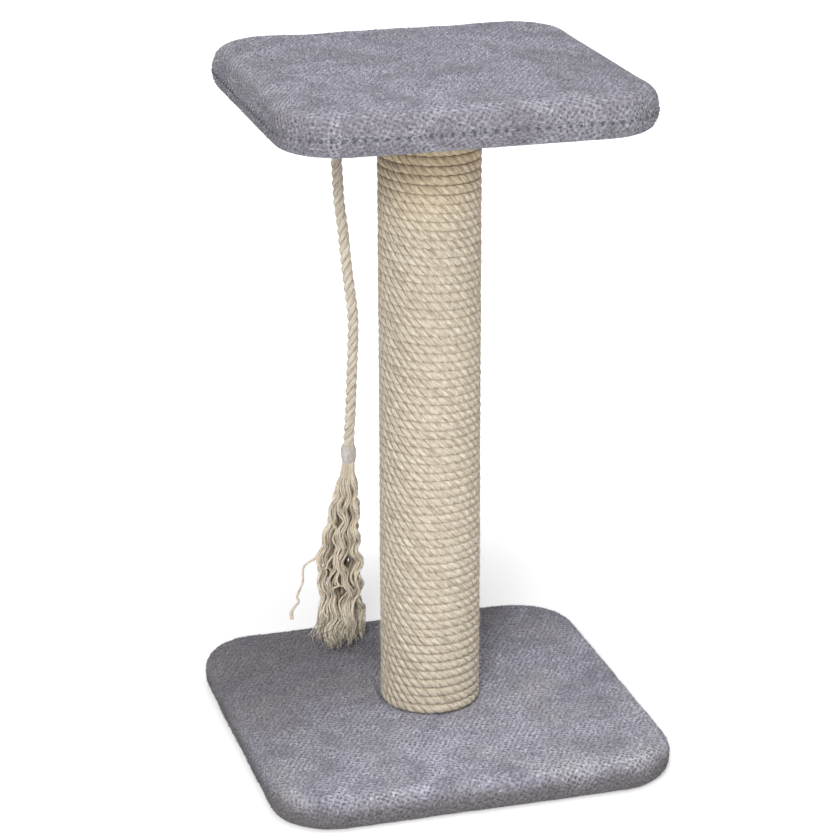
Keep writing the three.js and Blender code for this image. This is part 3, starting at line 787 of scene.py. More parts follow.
def makeTassel():
    # neighbouring yarns keep the same crimp, so the bundle waves in clumps
    draw = np.random.default_rng(yarns["seed"])
    clumpPhase = draw.uniform(0, 1, yarns["clumps"])
    lines, thick, innerShade = [], [], []
    for i in range(yarns["count"]):
        angle = i * yarns["turn"] + draw.uniform(-0.2, 0.2)
        spread = math.sqrt((i + 0.7) / yarns["count"]) * 0.93
        clump = int((angle / (2 * math.pi) % 1) * yarns["clumps"])
        length = draw.uniform(yarns["shortest"], yarns["longest"])
        depth = np.linspace(-0.004, length, 96)
        middle, radius = tasselAt(np.maximum(depth, 0))
        middle[:, 2] = tasselTop[2] - depth
        drift = angle + 0.22 * np.sin(depth * draw.uniform(20, 45) + draw.uniform(0, 6))
        for gapAngle, gapDepth, gapLength, push in yarns["gaps"]:
            apart = (drift - gapAngle + math.pi) % (2 * math.pi) - math.pi
            window = np.exp(-((depth - gapDepth) / gapLength) ** 2 - (apart / 0.6) ** 2)
            drift = drift + push * np.sign(apart) * window * (spread > 0.45)
        waves = depth / yarns["wave"] + clumpPhase[clump] + draw.uniform(-0.07, 0.07)
        phase = 2 * math.pi * waves
        growing = ease(depth, 0.004, 0.03) * yarns["waveDepth"] * draw.uniform(0.7, 1.15)
        reach = (radius - yarns["radius"]) * spread + growing * np.cos(phase) * (0.4 + 0.6 * spread)
        sideways = growing * 0.9 * np.sin(phase)
        line = middle.copy()
        line[:, 0] += reach * np.cos(drift) - sideways * np.sin(drift)
        line[:, 1] += reach * np.sin(drift) + sideways * np.cos(drift)
        line[:, 2] = np.maximum(line[:, 2], yarns["lowest"])
        lines.append(line)
        thick.append(draw.uniform(0.75, 1.2) * (1 - 0.55 * ease(depth, length - 0.03, length)))
        # painted shade on the inner yarns, where the bundle shades itself
        inside = max(0.0, 0.76 - spread) * 2.8 * draw.uniform(0.7, 1.2)
        innerShade.append(inside * ease(depth, 0.01, 0.04) * (1 - ease(depth, 0.13, 0.165)))
    tassel = layRope("tasselYarns", lines, {
        "Radius": yarns["radius"], "Lay": 0.011, "Groove": 0.2, "Step": 0.0021, "Sides": 7,
        "Finish": finishes["yarn"]}, thick, innerShade)
    return tassel, lines


tips = {"frays": 10, "radius": 0.0007, "apart": 0.0030, "lowest": 0.0345, "seed": 5}


def makeTips(yarnLines):
    # each yarn's end frays into fibres that leave its line and end a little past it
    draw = np.random.default_rng(tips["seed"])
    lines, thick = [], []
    for yarn in yarnLines:
        for _ in range(tips["frays"]):
            part = yarn[-int(draw.uniform(8, 22)):]
            share = np.linspace(0, 1, len(part))[:, None]
            wave = 0.0008 * np.sin(share * draw.uniform(4, 9) + draw.uniform(0, 6, 2))
            line = part.copy()
            line[:, :2] += draw.normal(0, tips["apart"], 2) * share ** 1.5 + wave * share
            line[:, 2] -= draw.uniform(-0.003, 0.012) * share[:, 0]
            line[:, 2] = np.maximum(line[:, 2], tips["lowest"])
            lines.append(line)
            thick.append(1 - 0.65 * share[:, 0])
    return layRope("tasselTips", lines, {
        "Radius": tips["radius"], "Lay": 0.02, "Groove": 0.1, "Step": 0.0045, "Sides": 5,
        "Finish": finishes["tips"]}, thick)


def makeStrayYarn():
    # one yarn stands away from the tassel: sideways offset from the hang point, and height
    right = np.array([0.9603, -0.2790])
    marks = [(0.0010, 0.160), (-0.0100, 0.140), (-0.0197, 0.123), (-0.0254, 0.119),
             (-0.0311, 0.114), (-0.0322, 0.106), (-0.0323, 0.0985), (-0.0363, 0.088),
             (-0.0383, 0.082), (-0.0365, 0.078), (-0.0433, 0.068), (-0.0434, 0.060)]
    points = [(hang[0] + right[0] * s, hang[1] + right[1] * s, z) for s, z in marks]
    path = smoothPath(points, 0.0015)
    thick = 0.85 + 0.6 * ease(np.linspace(0, 1, len(path)), 0.86, 0.98)
    return layRope("strayYarn", [path], {
        "Radius": 0.0014, "Lay": 0.010, "Groove": 0.2, "Step": 0.0012, "Sides": 9,
        "Finish": finishes["yarn"]}, [thick])


def makeCollar():
    # lumpy binding round the rope's end
    around, rows = 40, 22
    points = []
    for j in range(rows + 1):
        share = j / rows
        swell = 0.0058 + (toy["collarRadius"] - 0.0063) * math.sin(math.pi * share) ** 0.7
        for i in range(around):
            angle = 2 * math.pi * i / around
            x, y = math.cos(angle), math.sin(angle)
            z = ropeEnd[2] - 0.0003 - toy["collarLength"] * share
            lump = noise.noise(Vector((x * 1.6, y * 1.6, share * 4))) * 0.0007
            wrap = 0.00025 * math.cos(share * 7 * 2 * math.pi)
            reach = swell + lump + wrap
            points.append((ropeEnd[0] + reach * x, ropeEnd[1] + reach * y, z))
    collar = meshPiece("toyCollar", points, tubeFaces(rows + 1, around, True))
    paint(collar, finishes["binding"])
    return collar


toyTassel, yarnLines = makeTassel()
tasselTips = makeTips(yarnLines)
strayYarn = makeStrayYarn()
toyCollar = makeCollar()
toyFuzz = growHairs("toyRopeFuzz", toyTassel, {
    "Density": 9000.0, "Length": 0.009, "Thickness": 0.00012, "Lean": 1.15, "Lean spread": 0.3,
    "Seed": 4, "Finish": finishes["fibre"]})
print("tassel hung")

# Sisal winding
winding = {
    "turns": 69,
    "perLength": 23,
    "marksPerTurn": 120,
    "start": math.radians(75),
    "levelTurns": 8,
    "levelShare": 0.75,
    "firstHeight": 0.03651,
    "pitch": 0.0078431,
    "middle": 0.0409,
    "radius": 0.00435,
    "squash": 1.58,
    "halfHeight": 0.00390,
    "lay": 0.0240,
    "groove": 0.29,
    "step": 0.0020,
    # how much the turns lean to the right, by height
    "leanHeights": (0.033, 0.060, 0.110, 0.180, 0.240, 0.300, 0.360, 0.420, 0.500, 0.545, 0.581),
    "lean": (0.0, 0.020, 0.044, 0.046, 0.028, 0.0, -0.020, -0.030, -0.030, -0.012, 0.0),
    "leanWay": (0.9603, -0.2790),
    "stapleTurn": 0.125,
}


def climb(turns):
    total = winding["turns"]
    level = winding["levelShare"]
    whole = np.minimum(np.floor(turns), total - 1)
    share = turns - whole
    flatStart = np.maximum(0, (share - level) / (1 - level))
    flatEnd = np.minimum(1, share / (1 - level))
    evenLow = np.minimum(1, whole / winding["levelTurns"])
    evenHigh = np.minimum(1, (total - 1 - whole) / winding["levelTurns"])
    return turns + (flatStart - share) * (1 - evenLow) + (flatEnd - share) * (1 - evenHigh)


def makeWinding():
    pieces = []
    total = winding["turns"]
    for index, name in enumerate(("Lower", "Middle", "Upper")):
        first = index * winding["perLength"] + (1 / 24 + 0.0002 if index else 0)
        last = (index + 1) * winding["perLength"] + (1 / 24 - 0.0002) if index < 2 else total
        turns = np.linspace(first, last, winding["perLength"] * winding["marksPerTurn"])
        angle = winding["start"] - turns * 2 * math.pi
        height = winding["firstHeight"] + winding["pitch"] * climb(turns)
        # the staples pinch the rope at both ends of the winding
        pinch = np.exp(-((turns - winding["stapleTurn"]) / 0.02) ** 2)
        pinch += np.exp(-((turns - total + winding["stapleTurn"]) / 0.02) ** 2)
        wobble = noiseAt(np.stack([turns * 3.1, angle * 0, height * 0], axis=1), 1.0, 3.3)
        reach = winding["middle"] + 0.00022 * wobble - 0.0022 * pinch
        x, y = reach * np.cos(angle), reach * np.sin(angle)
        lean = np.interp(height, winding["leanHeights"], winding["lean"])
        wayX, wayY = winding["leanWay"]
        height = height + lean * (x * wayX + y * wayY)
        thick = 1 - 0.42 * pinch + 0.02 * wobble
        piece = layRope("sisalWinding" + name, [np.stack([x, y, height], axis=1)], {
            "Radius": winding["radius"], "Lay": winding["lay"], "Groove": winding["groove"],
            "Step": winding["step"], "Squash": winding["squash"], "Sides": 24,
            "Half height": winding["halfHeight"], "Finish": finishes["sisal"]}, [thick])
        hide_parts("sisal_winding_" + name.lower())
        pieces.append(piece)
        print("winding", name.lower(), "napAndShade")
    return pieces


windingPieces = makeWinding()
windingFuzz = [growHairs("windingFuzz" + str(i + 1), piece, {
    "Density": 26000.0, "Length": 0.008, "Thickness": 0.0001, "Lean": 1.28, "Lean spread": 0.22,
    "Seed": 20 + i, "Finish": finishes["fibre"]}) for i, piece in enumerate(windingPieces)]
print("winding done")


# Plush covers

def squarePlaces(half, corner, side, along):
    # points and outward directions on a square with round corners; along runs -1 to 1 between the
    # middles of two corners
    arc = corner * math.pi / 4
    straight = 2 * (half - corner)
    run = (along + 1) / 2 * (2 * arc + straight)
    first = run < arc
    last = run > arc + straight
    angle = np.where(first, run / corner - math.pi / 4,
                     np.where(last, (run - arc - straight) / corner, 0.0))
    reach = half - corner
    x = reach + corner * np.cos(angle)
    y = np.where(first, -reach, np.where(last, reach, run - arc - reach)) + corner * np.sin(angle)
    turn = side * math.pi / 2
    c, s = np.cos(turn), np.sin(turn)
    out = np.stack([np.cos(angle + turn), np.sin(angle + turn)], axis=-1)
    return np.stack([x * c - y * s, x * s + y * c], axis=-1), out


def coverMesh(name, shape, heightAt, rows, centre, facing):
    # A grid over the flat face, then rows round the edge and in along the inside, closed by a fan.
    # rows: inset from the outline and height. "cloth" keeps each point's place on the flat cloth.
    cells = shape["cells"]
    line = np.arange(-cells, cells + 1)
    gi, gj = np.meshgrid(line, line, indexing="ij")
    gi, gj = gi.ravel(), gj.ravel()
    ring = np.maximum(np.abs(gi), np.abs(gj))
    onSide = [(gi == ring) & (gj < ring), (gj == ring) & (gi > -ring),
              (gi == -ring) & (gj > -ring), (gj == -ring) & (gi < ring)]
    steps = [gj, -gi, -gj, gi]
    side = np.select(onSide, [0, 1, 2, 3], 0)
    safe = np.maximum(ring, 1)
    along = np.select(onSide, steps, 0) / safe
    outline, out = squarePlaces(shape["half"], shape["corner"], side, along)
    edge = outline - out * rows[0][0]
    flat = edge * (ring / cells)[:, None]
    flat[ring == 0] = 0
    points = [np.column_stack([flat, heightAt(flat)])]
    cloth = [np.column_stack([flat, np.zeros(len(flat))])]

    index = {}
    for k, (i, j) in enumerate(zip(gi, gj)):
        index[(i, j)] = k
    perimeter = [index[(cells, j)] for j in range(-cells, cells)]
    perimeter += [index[(i, cells)] for i in range(cells, -cells, -1)]
    perimeter += [index[(-cells, j)] for j in range(cells, -cells, -1)]
    perimeter += [index[(i, -cells)] for i in range(-cells, cells)]
    faces = []
    for i in range(-cells, cells):
        for j in range(-cells, cells):
            corners = ((i, j), (i + 1, j), (i + 1, j + 1), (i, j + 1))
            faces.append(tuple(index[corner] for corner in corners))
    rim = np.array(perimeter)
    rimOutline, rimOut = outline[rim], out[rim]
    rimFlat = flat[rim]
    before = perimeter
    arc = 0.0
    first = len(flat)
    count = len(perimeter)
    for n in range(1, len(rows)):
        arc += math.dist(rows[n], rows[n - 1])
        inset, height = rows[n]
        place = rimOutline - rimOut * inset
        points.append(np.column_stack([place, np.full(count, height)]))
        cloth.append(np.column_stack([rimFlat + rimOut * arc, np.zeros(count)]))
        now = list(range(first, first + count))
        for k in range(count):
            m = (k + 1) % count
            faces.append((before[k], now[k], now[m], before[m]))
        before = now
        first += count
    points.append(np.array([[0, 0, centre]]))
    cloth.append(np.zeros((1, 3)))
    for k in range(count):
        faces.append((before[k], first, before[(k + 1) % count]))
    if facing < 0:
        faces = [tuple(reversed(face)) for face in faces]
    piece = meshPiece(name, np.vstack(points), faces)
    storeVectors(piece, "cloth", np.vstack(cloth))
    return piece


def arcRows(radius, edgeHeight, side, count, shift=0.0):
    # from the flat face round to the upright: insets and heights
    rows = []
    for step in range(count + 1):
        angle = math.pi / 2 * (1 - step / count)
        rows.append((shift + radius * (1 - math.cos(angle)),
                     edgeHeight + side * radius * (math.sin(angle) - 1)))
    return rows


def markPlush(piece, bare, napAndShade, warmth):
    # where no pile grows, how far the nap and painted shade darken it, how far it is tinted
    storeNumbers(piece, "bare", bare)
    storeNumbers(piece, "napAndShade", napAndShade)
    storeNumbers(piece, "warmth", np.full(len(bare), warmth))


def smoothed(piece, levels=2):
    modifier = piece.modifiers.new("smooth", "SUBSURF")
    modifier.levels = modifier.render_levels = levels
    return settle(piece)


# the cover's face sits a little inside its outline, and the tips of the pile reach it
pileRise = 0.0008

base = {
    "half": 0.183, "corner": 0.0575, "edge": 0.012, "top": 0.0326, "plush": 0.004,
    "hemPlush": 0.003, "hemWidth": 0.038, "cells": 22, "footRadius": 0.0455,
    # the sides lie outside this distance, and no hair grows below this height
    "sides": 0.165, "hairless": 0.0048, "warmth": 0.9,
    "lumps": ((22.0, 0.0007, 1.0), (75.0, 0.00035, 2.0)),
}


def makeBaseCover():
    edge, top, plush = base["edge"], base["top"], base["plush"]
    rows = arcRows(edge, top, 1, 3) + arcRows(edge, 0.0, -1, 3)[::-1]
    hem, thick, foot = base["hemWidth"], base["hemPlush"], base["footRadius"]
    rows += [(0.024, 0.0), (hem - 0.001, 0.0), (hem, 0.0008), (hem, thick - 0.0006)]
    rows += [(hem - 0.001, thick), (edge, thick), (plush, edge), (plush, top - edge),
             (edge, top - plush)]
    piece = coverMesh("baseCover", base, lambda flat: np.full(len(flat), top), rows, top - plush, 1)
    smoothed(piece)
    places, normals = placesOf(piece), normalsOf(piece)
    cloth = readVectors(piece, "cloth")
    outer = (places[:, 2] > top - 0.003) | (np.max(np.abs(places[:, :2]), axis=1) > base["sides"])
    outer &= places[:, 2] > 0.001
    lump = lumpsAt(cloth, base["lumps"])
    # the post presses the plush down and raises a ridge round its foot
    far = np.hypot(places[:, 0], places[:, 1])
    pressed = -0.0012 * (1 - ease(far, foot - 0.003, foot + 0.004))
    ridge = 0.0009 * np.exp(-((far - foot - 0.007) / 0.005) ** 2)
    move = np.where(outer, lump, 0) + np.where(places[:, 2] > top - 0.002, pressed + ridge, 0)
    underneath = normals[:, 2] < -0.75
    inside = ~outer & (places[:, 2] > 0.001)
    low = places[:, 2] < base["hairless"]
    # darker towards the back, partly the nap's lie and partly painted shade where the platform
    # shades the base, and painted shade low on the sides near the floor
    toFront = places[:, 0] * 0.55 - places[:, 1] * 0.83
    nap = 0.70 * (1 - ease(toFront, -0.17, 0.12))
    drift = places[:, 2] + 0.006 * noiseAt(cloth, 30.0, 4.0)
    napAndShade = np.maximum(nap, 0.9 - 0.9 * ease(drift, 0.012, 0.037))
    markPlush(piece, underneath | inside | low | (far < foot - 0.002), napAndShade, base["warmth"])
    move -= pileRise * (outer & ~underneath)
    places = places + normals * move[:, None]
    # the hem gathers at the corners
    turn = np.arctan2(np.abs(places[:, 1]), np.abs(places[:, 0]))
    atCorner = np.exp(-((turn - math.pi / 4) / 0.24) ** 2)
    inset = base["half"] - np.max(np.abs(places[:, :2]), axis=1)
    onHem = (places[:, 2] < 0.0012) & (inset > 0.006)
    pleat = 0.0011 * atCorner * (0.5 + 0.5 * np.sin(turn * 46))
    places[:, 2] += np.where(onHem, pleat, 0)
    places[:, 2] = np.maximum(places[:, 2], 0.0)
    movePoints(piece, places)
    paint(piece, finishes["plush"])
    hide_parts("base_cover")
    return piece


baseCover = makeBaseCover()
print("base covered")

platform = {
    "half": 0.1645, "corner": 0.058, "underEdge": 0.012, "topEdge": 0.0145, "bottom": 0.5816,
    "top": 0.6195, "crown": 0.003, "seam": 0.5976, "seamDepth": 0.0005, "seamSpread": 0.0022,
    "plush": 0.004, "cells": 22, "stitch": 0.009, "stitchDepth": 0.0012, "napAndShade": 0.30,
    "sideLaid": 0.53, "warmth": 0.2,
    # how far in the cloth counts as its outside, and where its inside runs
    "skin": 0.0034, "inner": 0.0041,
    "topLumps": ((20.0, 0.0010, 5.0), (70.0, 0.0004, 6.0)),
    "underLumps": ((24.0, 0.0005, 8.0), (70.0, 0.0003, 9.0)),
    # no hair grows this near the post's and the rope's middle
    "postBare": 0.044, "ropeBare": 0.0125,
    # radius and height of the rope's flared hole, from below to above the cloth
    "ropeHole": ((0.0086, -0.004), (0.0086, 0.0), (0.0070, 0.0012), (0.0060, 0.003),
                 (0.0060, 0.0043)),
}


def crownAt(flat):
    span = platform["half"] - platform["topEdge"]
    reach = np.max(np.abs(flat), axis=1) / span
    return platform["crown"] * np.sin((1 - np.minimum(reach, 1)) * math.pi / 2)


puffCloth = {
    "quality": 5, "mass": 0.2, "tension_stiffness": 25, "compression_stiffness": 25,
    "bending_stiffness": 0.8, "use_pressure": True, "uniform_pressure_force": 2.5,
    "vertex_group_mass": "held",
}
puffFrames = 20


def puff(piece, held, most):
    # the foam presses the cover up a little: cloth under pressure, held from the seam inwards
    start = placesOf(piece)
    group = piece.vertex_groups.new(name="held")
    group.add(np.nonzero(held)[0].tolist(), 1.0, "REPLACE")
    modifier = piece.modifiers.new("puff", "CLOTH")
    for key, value in puffCloth.items():
        setattr(modifier.settings, key, value)
    modifier.settings.effector_weights.gravity = 0
    modifier.collision_settings.use_collision = False
    modifier.point_cache.frame_end = puffFrames
    for frameNumber in range(1, puffFrames + 1):
        scene.frame_set(frameNumber)
    graph = bpy.context.evaluated_depsgraph_get()
    moved = triples(piece.evaluated_get(graph).data.vertices, "co")
    piece.modifiers.clear()
    scene.frame_set(1)
    shift = moved - start
    size = np.linalg.norm(shift, axis=1, keepdims=True)
    shift *= np.minimum(1, most / np.maximum(size, 1e-9))
    movePoints(piece, start + shift)
    print("puffed by up to", round(float(np.linalg.norm(shift, axis=1).max()) * 1000, 2), "mm")


def seamRun(places):
    # how far round the outline each point is
    outline, _ = squarePlaces(platform["half"], platform["corner"], np.repeat(np.arange(4), 400),
                              np.tile(np.linspace(-1, 1, 400, endpoint=False), 4))
    step = np.linalg.norm(np.diff(np.vstack([outline, outline[:1]]), axis=0), axis=1)
    run = np.concatenate([[0], np.cumsum(step)[:-1]])
    angle = np.arctan2(places[:, 1], places[:, 0])
    known = np.arctan2(outline[:, 1], outline[:, 0])
    order = np.argsort(known)
    return np.interp(angle, known[order], run[order], period=2 * math.pi), float(step.sum())


def pinchSeam(piece):
    # the stitches draw the plush in, one dimple each
    places = placesOf(piece)
    run, around = seamRun(places)
    count = round(around / platform["stitch"])
    beat = 0.5 + 0.5 * np.cos(2 * math.pi * run / around * count)
    near = np.exp(-((places[:, 2] - platform["seam"]) / 0.003) ** 2)
    reach = np.hypot(places[:, 0], places[:, 1])
    inwards = -places[:, :2] / np.maximum(reach, 1e-6)[:, None]
    outer = reachOut(places) > -platform["skin"]
    depth = platform["stitchDepth"] * beat ** 3 * near * outer
    places[:, :2] += inwards * depth[:, None]
    movePoints(piece, places)


def reachOut(places):
    # distance outside the platform's outline, negative inside
    corner, half = platform["corner"], platform["half"]
    apart = np.abs(places[:, :2]) - (half - corner)
    return (np.hypot(*np.maximum(apart, 0).T) + np.minimum(np.max(apart, axis=1), 0)) - corner


def uprightDarkening(normals):
    # the sides are darker than the top, the more so the more upright
    level = ease(np.abs(normals[:, 2]), 0.62, 0.98)
    return platform["sideLaid"] + (platform["napAndShade"] - platform["sideLaid"]) * level


def seamRows(way):
    # from the side to the seam, in along it and back behind the cloth; way is 1 above the seam
    seam, depth = platform["seam"], platform["seamDepth"]
    steps = [(0.0, platform["seamSpread"]), (depth * 0.5, 0.0008), (depth, 0.0003),
             (depth + 0.0002, 0.0001), (depth + 0.0008, 0.0001), (0.0036, 0.0001),
             (platform["inner"], 0.002)]
    return [(inset, seam + way * rise) for inset, rise in steps]


def makePlatformTop():
    top, edge, seam = platform["top"], platform["topEdge"], platform["seam"]
    rows = arcRows(edge, top, 1, 3) + seamRows(1)
    rows += [(platform["inner"], top - edge), (edge, top - platform["plush"] - 0.0001)]
    piece = coverMesh("platformCoverTop", platform, lambda flat: top - 0.001 + crownAt(flat), rows,
                      top - 0.0009, 1)
    places = placesOf(piece)
    held = (reachOut(places) < -0.0039) & (places[:, 2] < top - 0.0035)
    held |= places[:, 2] < seam + 0.0015
    held |= np.arange(len(places)) >= len(places) - 1 - 8 * platform["cells"]
    puff(piece, held, 0.0016)
    smoothed(piece)
    places, normals = placesOf(piece), normalsOf(piece)
    cloth = readVectors(piece, "cloth")
    outer = (reachOut(places) > -platform["skin"]) | (places[:, 2] > top - 0.0008)
    outer &= places[:, 2] > seam + 0.00015
    lump = lumpsAt(cloth, platform["topLumps"])
    markPlush(piece, ~outer, uprightDarkening(normals), platform["warmth"])
    movePoints(piece, places + normals * ((lump - pileRise) * outer)[:, None])
    pinchSeam(piece)
    paint(piece, finishes["plush"])
    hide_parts("platform_cover_top")
    return piece


def makePlatformUnder():
    bottom, edge, seam = platform["bottom"], platform["underEdge"], platform["seam"]
    inside = bottom + platform["plush"]
    rows = arcRows(edge, bottom, -1, 3) + seamRows(-1)
    rows += [(platform["inner"], bottom + edge), (edge, inside)]
    piece = coverMesh("platformCoverUnder", platform, lambda flat: np.full(len(flat), bottom), rows,
                      inside, -1)
    smoothed(piece)
    places, normals = placesOf(piece), normalsOf(piece)
    cloth = readVectors(piece, "cloth")
    outer = (reachOut(places) > -platform["skin"]) & (places[:, 2] < seam - 0.00015)
    outer |= places[:, 2] < bottom + 0.001
    fromPost = np.hypot(places[:, 0], places[:, 1])
    fromRope = np.hypot(places[:, 0] - hang[0], places[:, 1] - hang[1])
    bare = ~outer | (fromPost < platform["postBare"]) | (fromRope < platform["ropeBare"])
    storeNumbers(piece, "bare", bare)
    lump = lumpsAt(cloth, platform["underLumps"])
    movePoints(piece, places + normals * ((lump - pileRise) * outer)[:, None])
    pinchSeam(piece)
    paint(piece, finishes["plush"])
    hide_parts("platform_cover_under")
    return piece


platformTop = makePlatformTop()
platformUnder = makePlatformUnder()


def cutRopeHole(piece):
    # the hole that the toy's rope swings in
    x, y, z = toy["hang"]
    around, profile = 32, platform["ropeHole"]
    points = []
    for radius, height in profile:
        for i in range(around):
            angle = 2 * math.pi * i / around
            points.append((x + radius * math.cos(angle), y + radius * math.sin(angle), z + height))
    cutter = meshPiece("ropeHoleCutter", points, tubeFaces(len(profile), around, False))
    lookup = KDTree(len(piece.data.vertices))
    for index, place in enumerate(placesOf(piece)):
        lookup.insert(place, index)
    lookup.balance()
    cloth = readVectors(piece, "cloth")
    bare = np.zeros(len(cloth))
    piece.data.attributes["bare"].data.foreach_get("value", bare)
    modifier = piece.modifiers.new("hole", "BOOLEAN")
    modifier.operation = "DIFFERENCE"
    modifier.solver = "EXACT"
    modifier.object = cutter
    settle(piece, ("cloth", "bare"))
    nearest = np.array([lookup.find(place)[1] for place in placesOf(piece)])
    storeVectors(piece, "cloth", cloth[nearest])
    markPlush(piece, bare[nearest], uprightDarkening(normalsOf(piece)), platform["warmth"])
    mesh = cutter.data
    bpy.data.objects.remove(cutter)
    bpy.data.meshes.remove(mesh)


cutRopeHole(platformUnder)
print("platform covered")


def seamLine(inset, height):
    outline, out = squarePlaces(platform["half"], platform["corner"], np.repeat(np.arange(4), 120),
                                np.tile(np.linspace(-1, 1, 120, endpoint=False), 4))
    place = outline - out * inset
    return np.column_stack([place, np.full(len(place), height)])


def makeStitches():
    line = seamLine(platform["seamDepth"] + 0.0001, platform["seam"])
    line = np.vstack([line, line[:1]])
    piece = linePiece("seamStitches", [line])
    run = np.linalg.norm(np.diff(line, axis=0), axis=1).sum()
    spacing = run / round(run / platform["stitch"])
    useTree(piece, trees["stitches"], {"Spacing": float(spacing) * 0.9999, "Length": 0.0030,
                                       "Thickness": 0.0022, "Finish": finishes["thread"]})
    return settle(piece)


seamStitches = makeStitches()


foam = {"half": 0.1602, "corner": 0.0537, "bottom": 0.6012, "top": 0.6152, "edge": 0.0102,
        "cells": 12, "crown": 0.8}


def makeFoamPad():
    bottom, top, edge = foam["bottom"], foam["top"], foam["edge"]
    rows = arcRows(edge, top, 1, 3) + [(0.0, bottom + 0.001), (0.001, bottom), (0.04, bottom)]
    piece = coverMesh("foamPad", foam, lambda flat: top + foam["crown"] * crownAt(flat), rows,
                      bottom, 1)
    piece.data.attributes.remove(piece.data.attributes["cloth"])
    smoothed(piece, 1)
    paint(piece, finishes["foam"])
    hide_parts("platform_pad")
    return piece


foamPad = makeFoamPad()

tufts = {"Density": 270000.0, "Length": 0.0017, "Thickness": 0.00040, "Lean": 0.62,
         "Lean spread": 0.38, "Dimple pitch": 0.0043, "Finish": finishes["pile"]}
pilePieces = [growHairs("basePile", baseCover, {**tufts, "Length": 0.0016, "Thickness": 0.00038,
                                                "Seed": 31}),
              growHairs("platformTopPile", platformTop, {**tufts, "Seed": 32}),
              growHairs("platformUnderPile", platformUnder, {**tufts, "Seed": 33})]
print("pile grown")

# Knot of the toy's rope in its pocket on the board, with the rope in its hole below it
knot = {"middle": 0.6002, "turn": 0.0031, "rise": 0.0030, "ropeRadius": 0.0047,
        "stem": (0.5872, 0.5960)}


def makeKnot():
    t = np.linspace(0.35, 2 * math.pi + 0.2, 120)
    x = hang[0] + knot["turn"] / 1.5 * (np.sin(t) + 2 * np.sin(2 * t)) / 2
    y = hang[1] + knot["turn"] / 1.5 * (np.cos(t) - 2 * np.cos(2 * t)) / 2
    z = knot["middle"] - knot["rise"] * np.sin(3 * t)
    loop = np.stack([x, y, z], axis=1)
    stem = np.array([[hang[0], hang[1], height] for height in np.linspace(*knot["stem"], 8)])
    piece = layRope("toyKnot", [loop, stem], {
        "Radius": knot["ropeRadius"], "Lay": toy["lay"], "Groove": toy["groove"], "Step": 0.0015,
        "Sides": 18, "Finish": finishes["toySisal"]})
    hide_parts("toy_knot")
    return piece


toyKnot = makeKnot()

# CAD nodes that show as they are
nodeFinishes = {
    "base_board": "board", "platform_board": "board", "post_lower_plug": "board",
    "post_upper_plug": "board", "post_tube": "cardboard", "base_bolt_washer": "steel",
    "base_bolt": "steel", "post_nut": "steel", "post_stud": "steel", "platform_nut": "steel",
    "winding_start_staple": "steel", "winding_end_staple": "steel",
}
nodeFinishes.update({f"hem_staple_{i:02d}": "steel" for i in range(1, 13)})
for name, finish in nodeFinishes.items():
    paint(cadNodes[name], finishes[finish])
print("hardware painted")

# Everything rides on its body
for piece in [baseCover, platformTop, platformUnder, foamPad, seamStitches, toyKnot, *windingPieces,
              *windingFuzz, *pilePieces]:
    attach(piece, "post")
for piece in (toyTassel, tasselTips, strayYarn, toyCollar, toyFuzz):
    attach(piece, "toy")
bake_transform(toyRope)
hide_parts("toy_rope_neck", "toy_rope")
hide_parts("toy_collar")
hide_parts("toy_tassel")

print("pieces ride")


# Floor, light and background

studio = {
    "key": {"place": (-1.10, -2.50, 1.75), "size": 0.7, "power": 48},
    "fill": {"place": (-0.05, -2.9, 0.45), "size": 1.2, "power": 15},
    "top": {"place": (-0.1, -1.0, 2.8), "size": 1.6, "power": 26},
    "world": 0.42,
    "aim": 0.3,
    "floor": -0.0004,
    "reach": 30,
    # rays from the base's underside are shorter than this when they meet the floor
    "close": 0.0012,
}


def makeLamp(name, values):
    data = bpy.data.lights.new(name, "AREA")
    data.shape = "DISK"
    data.size = values["size"]
    data.energy = values["power"]
    lamp = addObject(name, data)
    way = Vector((0, 0, studio["aim"])) - Vector(values["place"])
    lamp.location = values["place"]
    lamp.rotation_euler = way.to_track_quat("-Z", "Y").to_euler()


def seenShare(tree):
    # 1 for rays that show the floor or the world itself, 0 for those that light the object
    ways = tree.nodes.new("ShaderNodeLightPath").outputs
    mirrored = maths(tree, "MAXIMUM", ways["Is Glossy Ray"], ways["Is Transmission Ray"])
    return ways, maths(tree, "MAXIMUM", ways["Is Camera Ray"], mirrored)


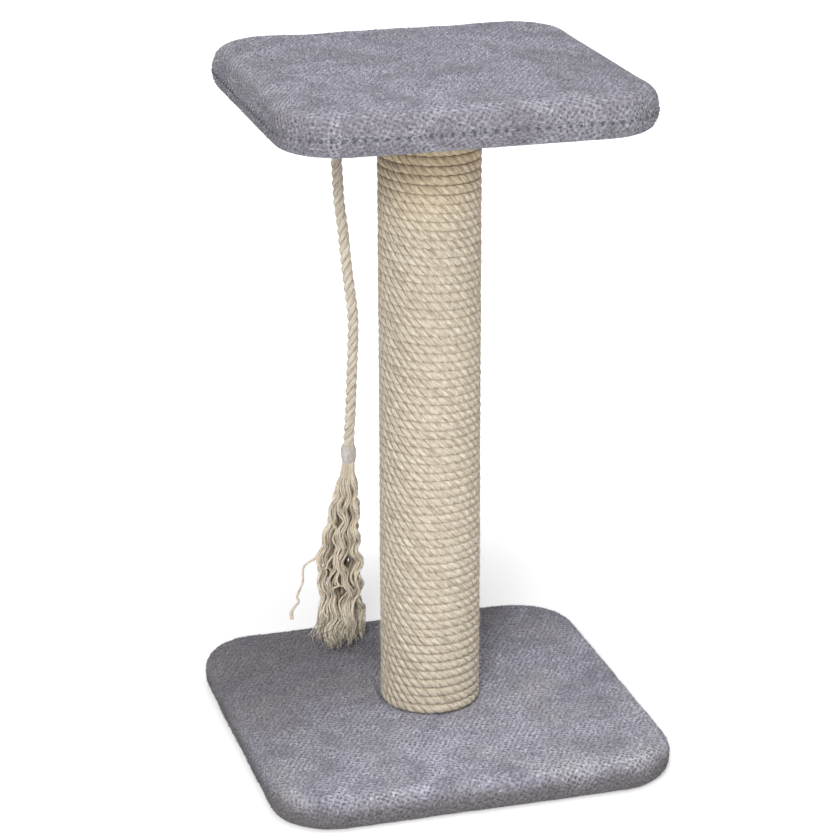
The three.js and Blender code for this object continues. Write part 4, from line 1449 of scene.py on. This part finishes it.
def makeFloor():
    reach, level = studio["reach"], studio["floor"]
    corners = [(x * reach, y * reach, level) for x, y in ((-1, -1), (1, -1), (1, 1), (-1, 1))]
    piece = meshPiece("studioFloor", corners, [(0, 1, 2, 3)])
    finish = bpy.data.materials.new("studioFloor")
    finish.use_nodes = True
    tree = finish.node_tree
    tree.nodes.clear()
    ways, seen = seenShare(tree)
    matte = addNode(tree, "ShaderNodeBsdfDiffuse", {"Color": (0.88, 0.88, 0.88, 1)}).outputs[0]
    far = addNode(tree, "ShaderNodeVectorMath", {0: objectPlace(tree)}, operation="LENGTH")
    strength = ranged(tree, far.outputs["Value"], 0.28, 1.0, 0.4, 1.0)
    shown = maths(tree, "MULTIPLY", seen, strength)
    glow = addNode(tree, "ShaderNodeEmission", {"Color": (1, 1, 1, 1), "Strength": shown})
    both = addNode(tree, "ShaderNodeAddShader", {0: matte, 1: glow.outputs[0]}).outputs[0]
    # the underside of the base gets the world's light through the floor it stands on
    close = maths(tree, "LESS_THAN", ways["Ray Length"], studio["close"])
    close = maths(tree, "MULTIPLY", close, ways["Is Diffuse Ray"])
    back = tree.nodes.new("ShaderNodeNewGeometry").outputs["Backfacing"]
    below = maths(tree, "MAXIMUM", back, close)
    clear = addNode(tree, "ShaderNodeBsdfTransparent", {"Color": (1, 1, 1, 1)}).outputs[0]
    whole = addNode(tree, "ShaderNodeMixShader", {0: below, 1: both, 2: clear}).outputs[0]
    end = tree.nodes.new("ShaderNodeOutputMaterial")
    tree.links.new(whole, end.inputs["Surface"])
    paint(piece, finish)


def makeWorld():
    world = bpy.data.worlds.new("studio")
    scene.world = world
    world.use_nodes = True
    tree = world.node_tree
    tree.nodes.clear()
    _, seen = seenShare(tree)
    strength = ranged(tree, seen, 0.0, 1.0, studio["world"], 1.0, "LINEAR")
    glow = addNode(tree, "ShaderNodeBackground", {"Color": (1, 1, 1, 1), "Strength": strength})
    end = tree.nodes.new("ShaderNodeOutputWorld")
    tree.links.new(glow.outputs[0], end.inputs["Surface"])


for lampName in ("key", "fill", "top"):
    makeLamp(lampName + "Light", studio[lampName])
makeFloor()
makeWorld()
print("studio set")
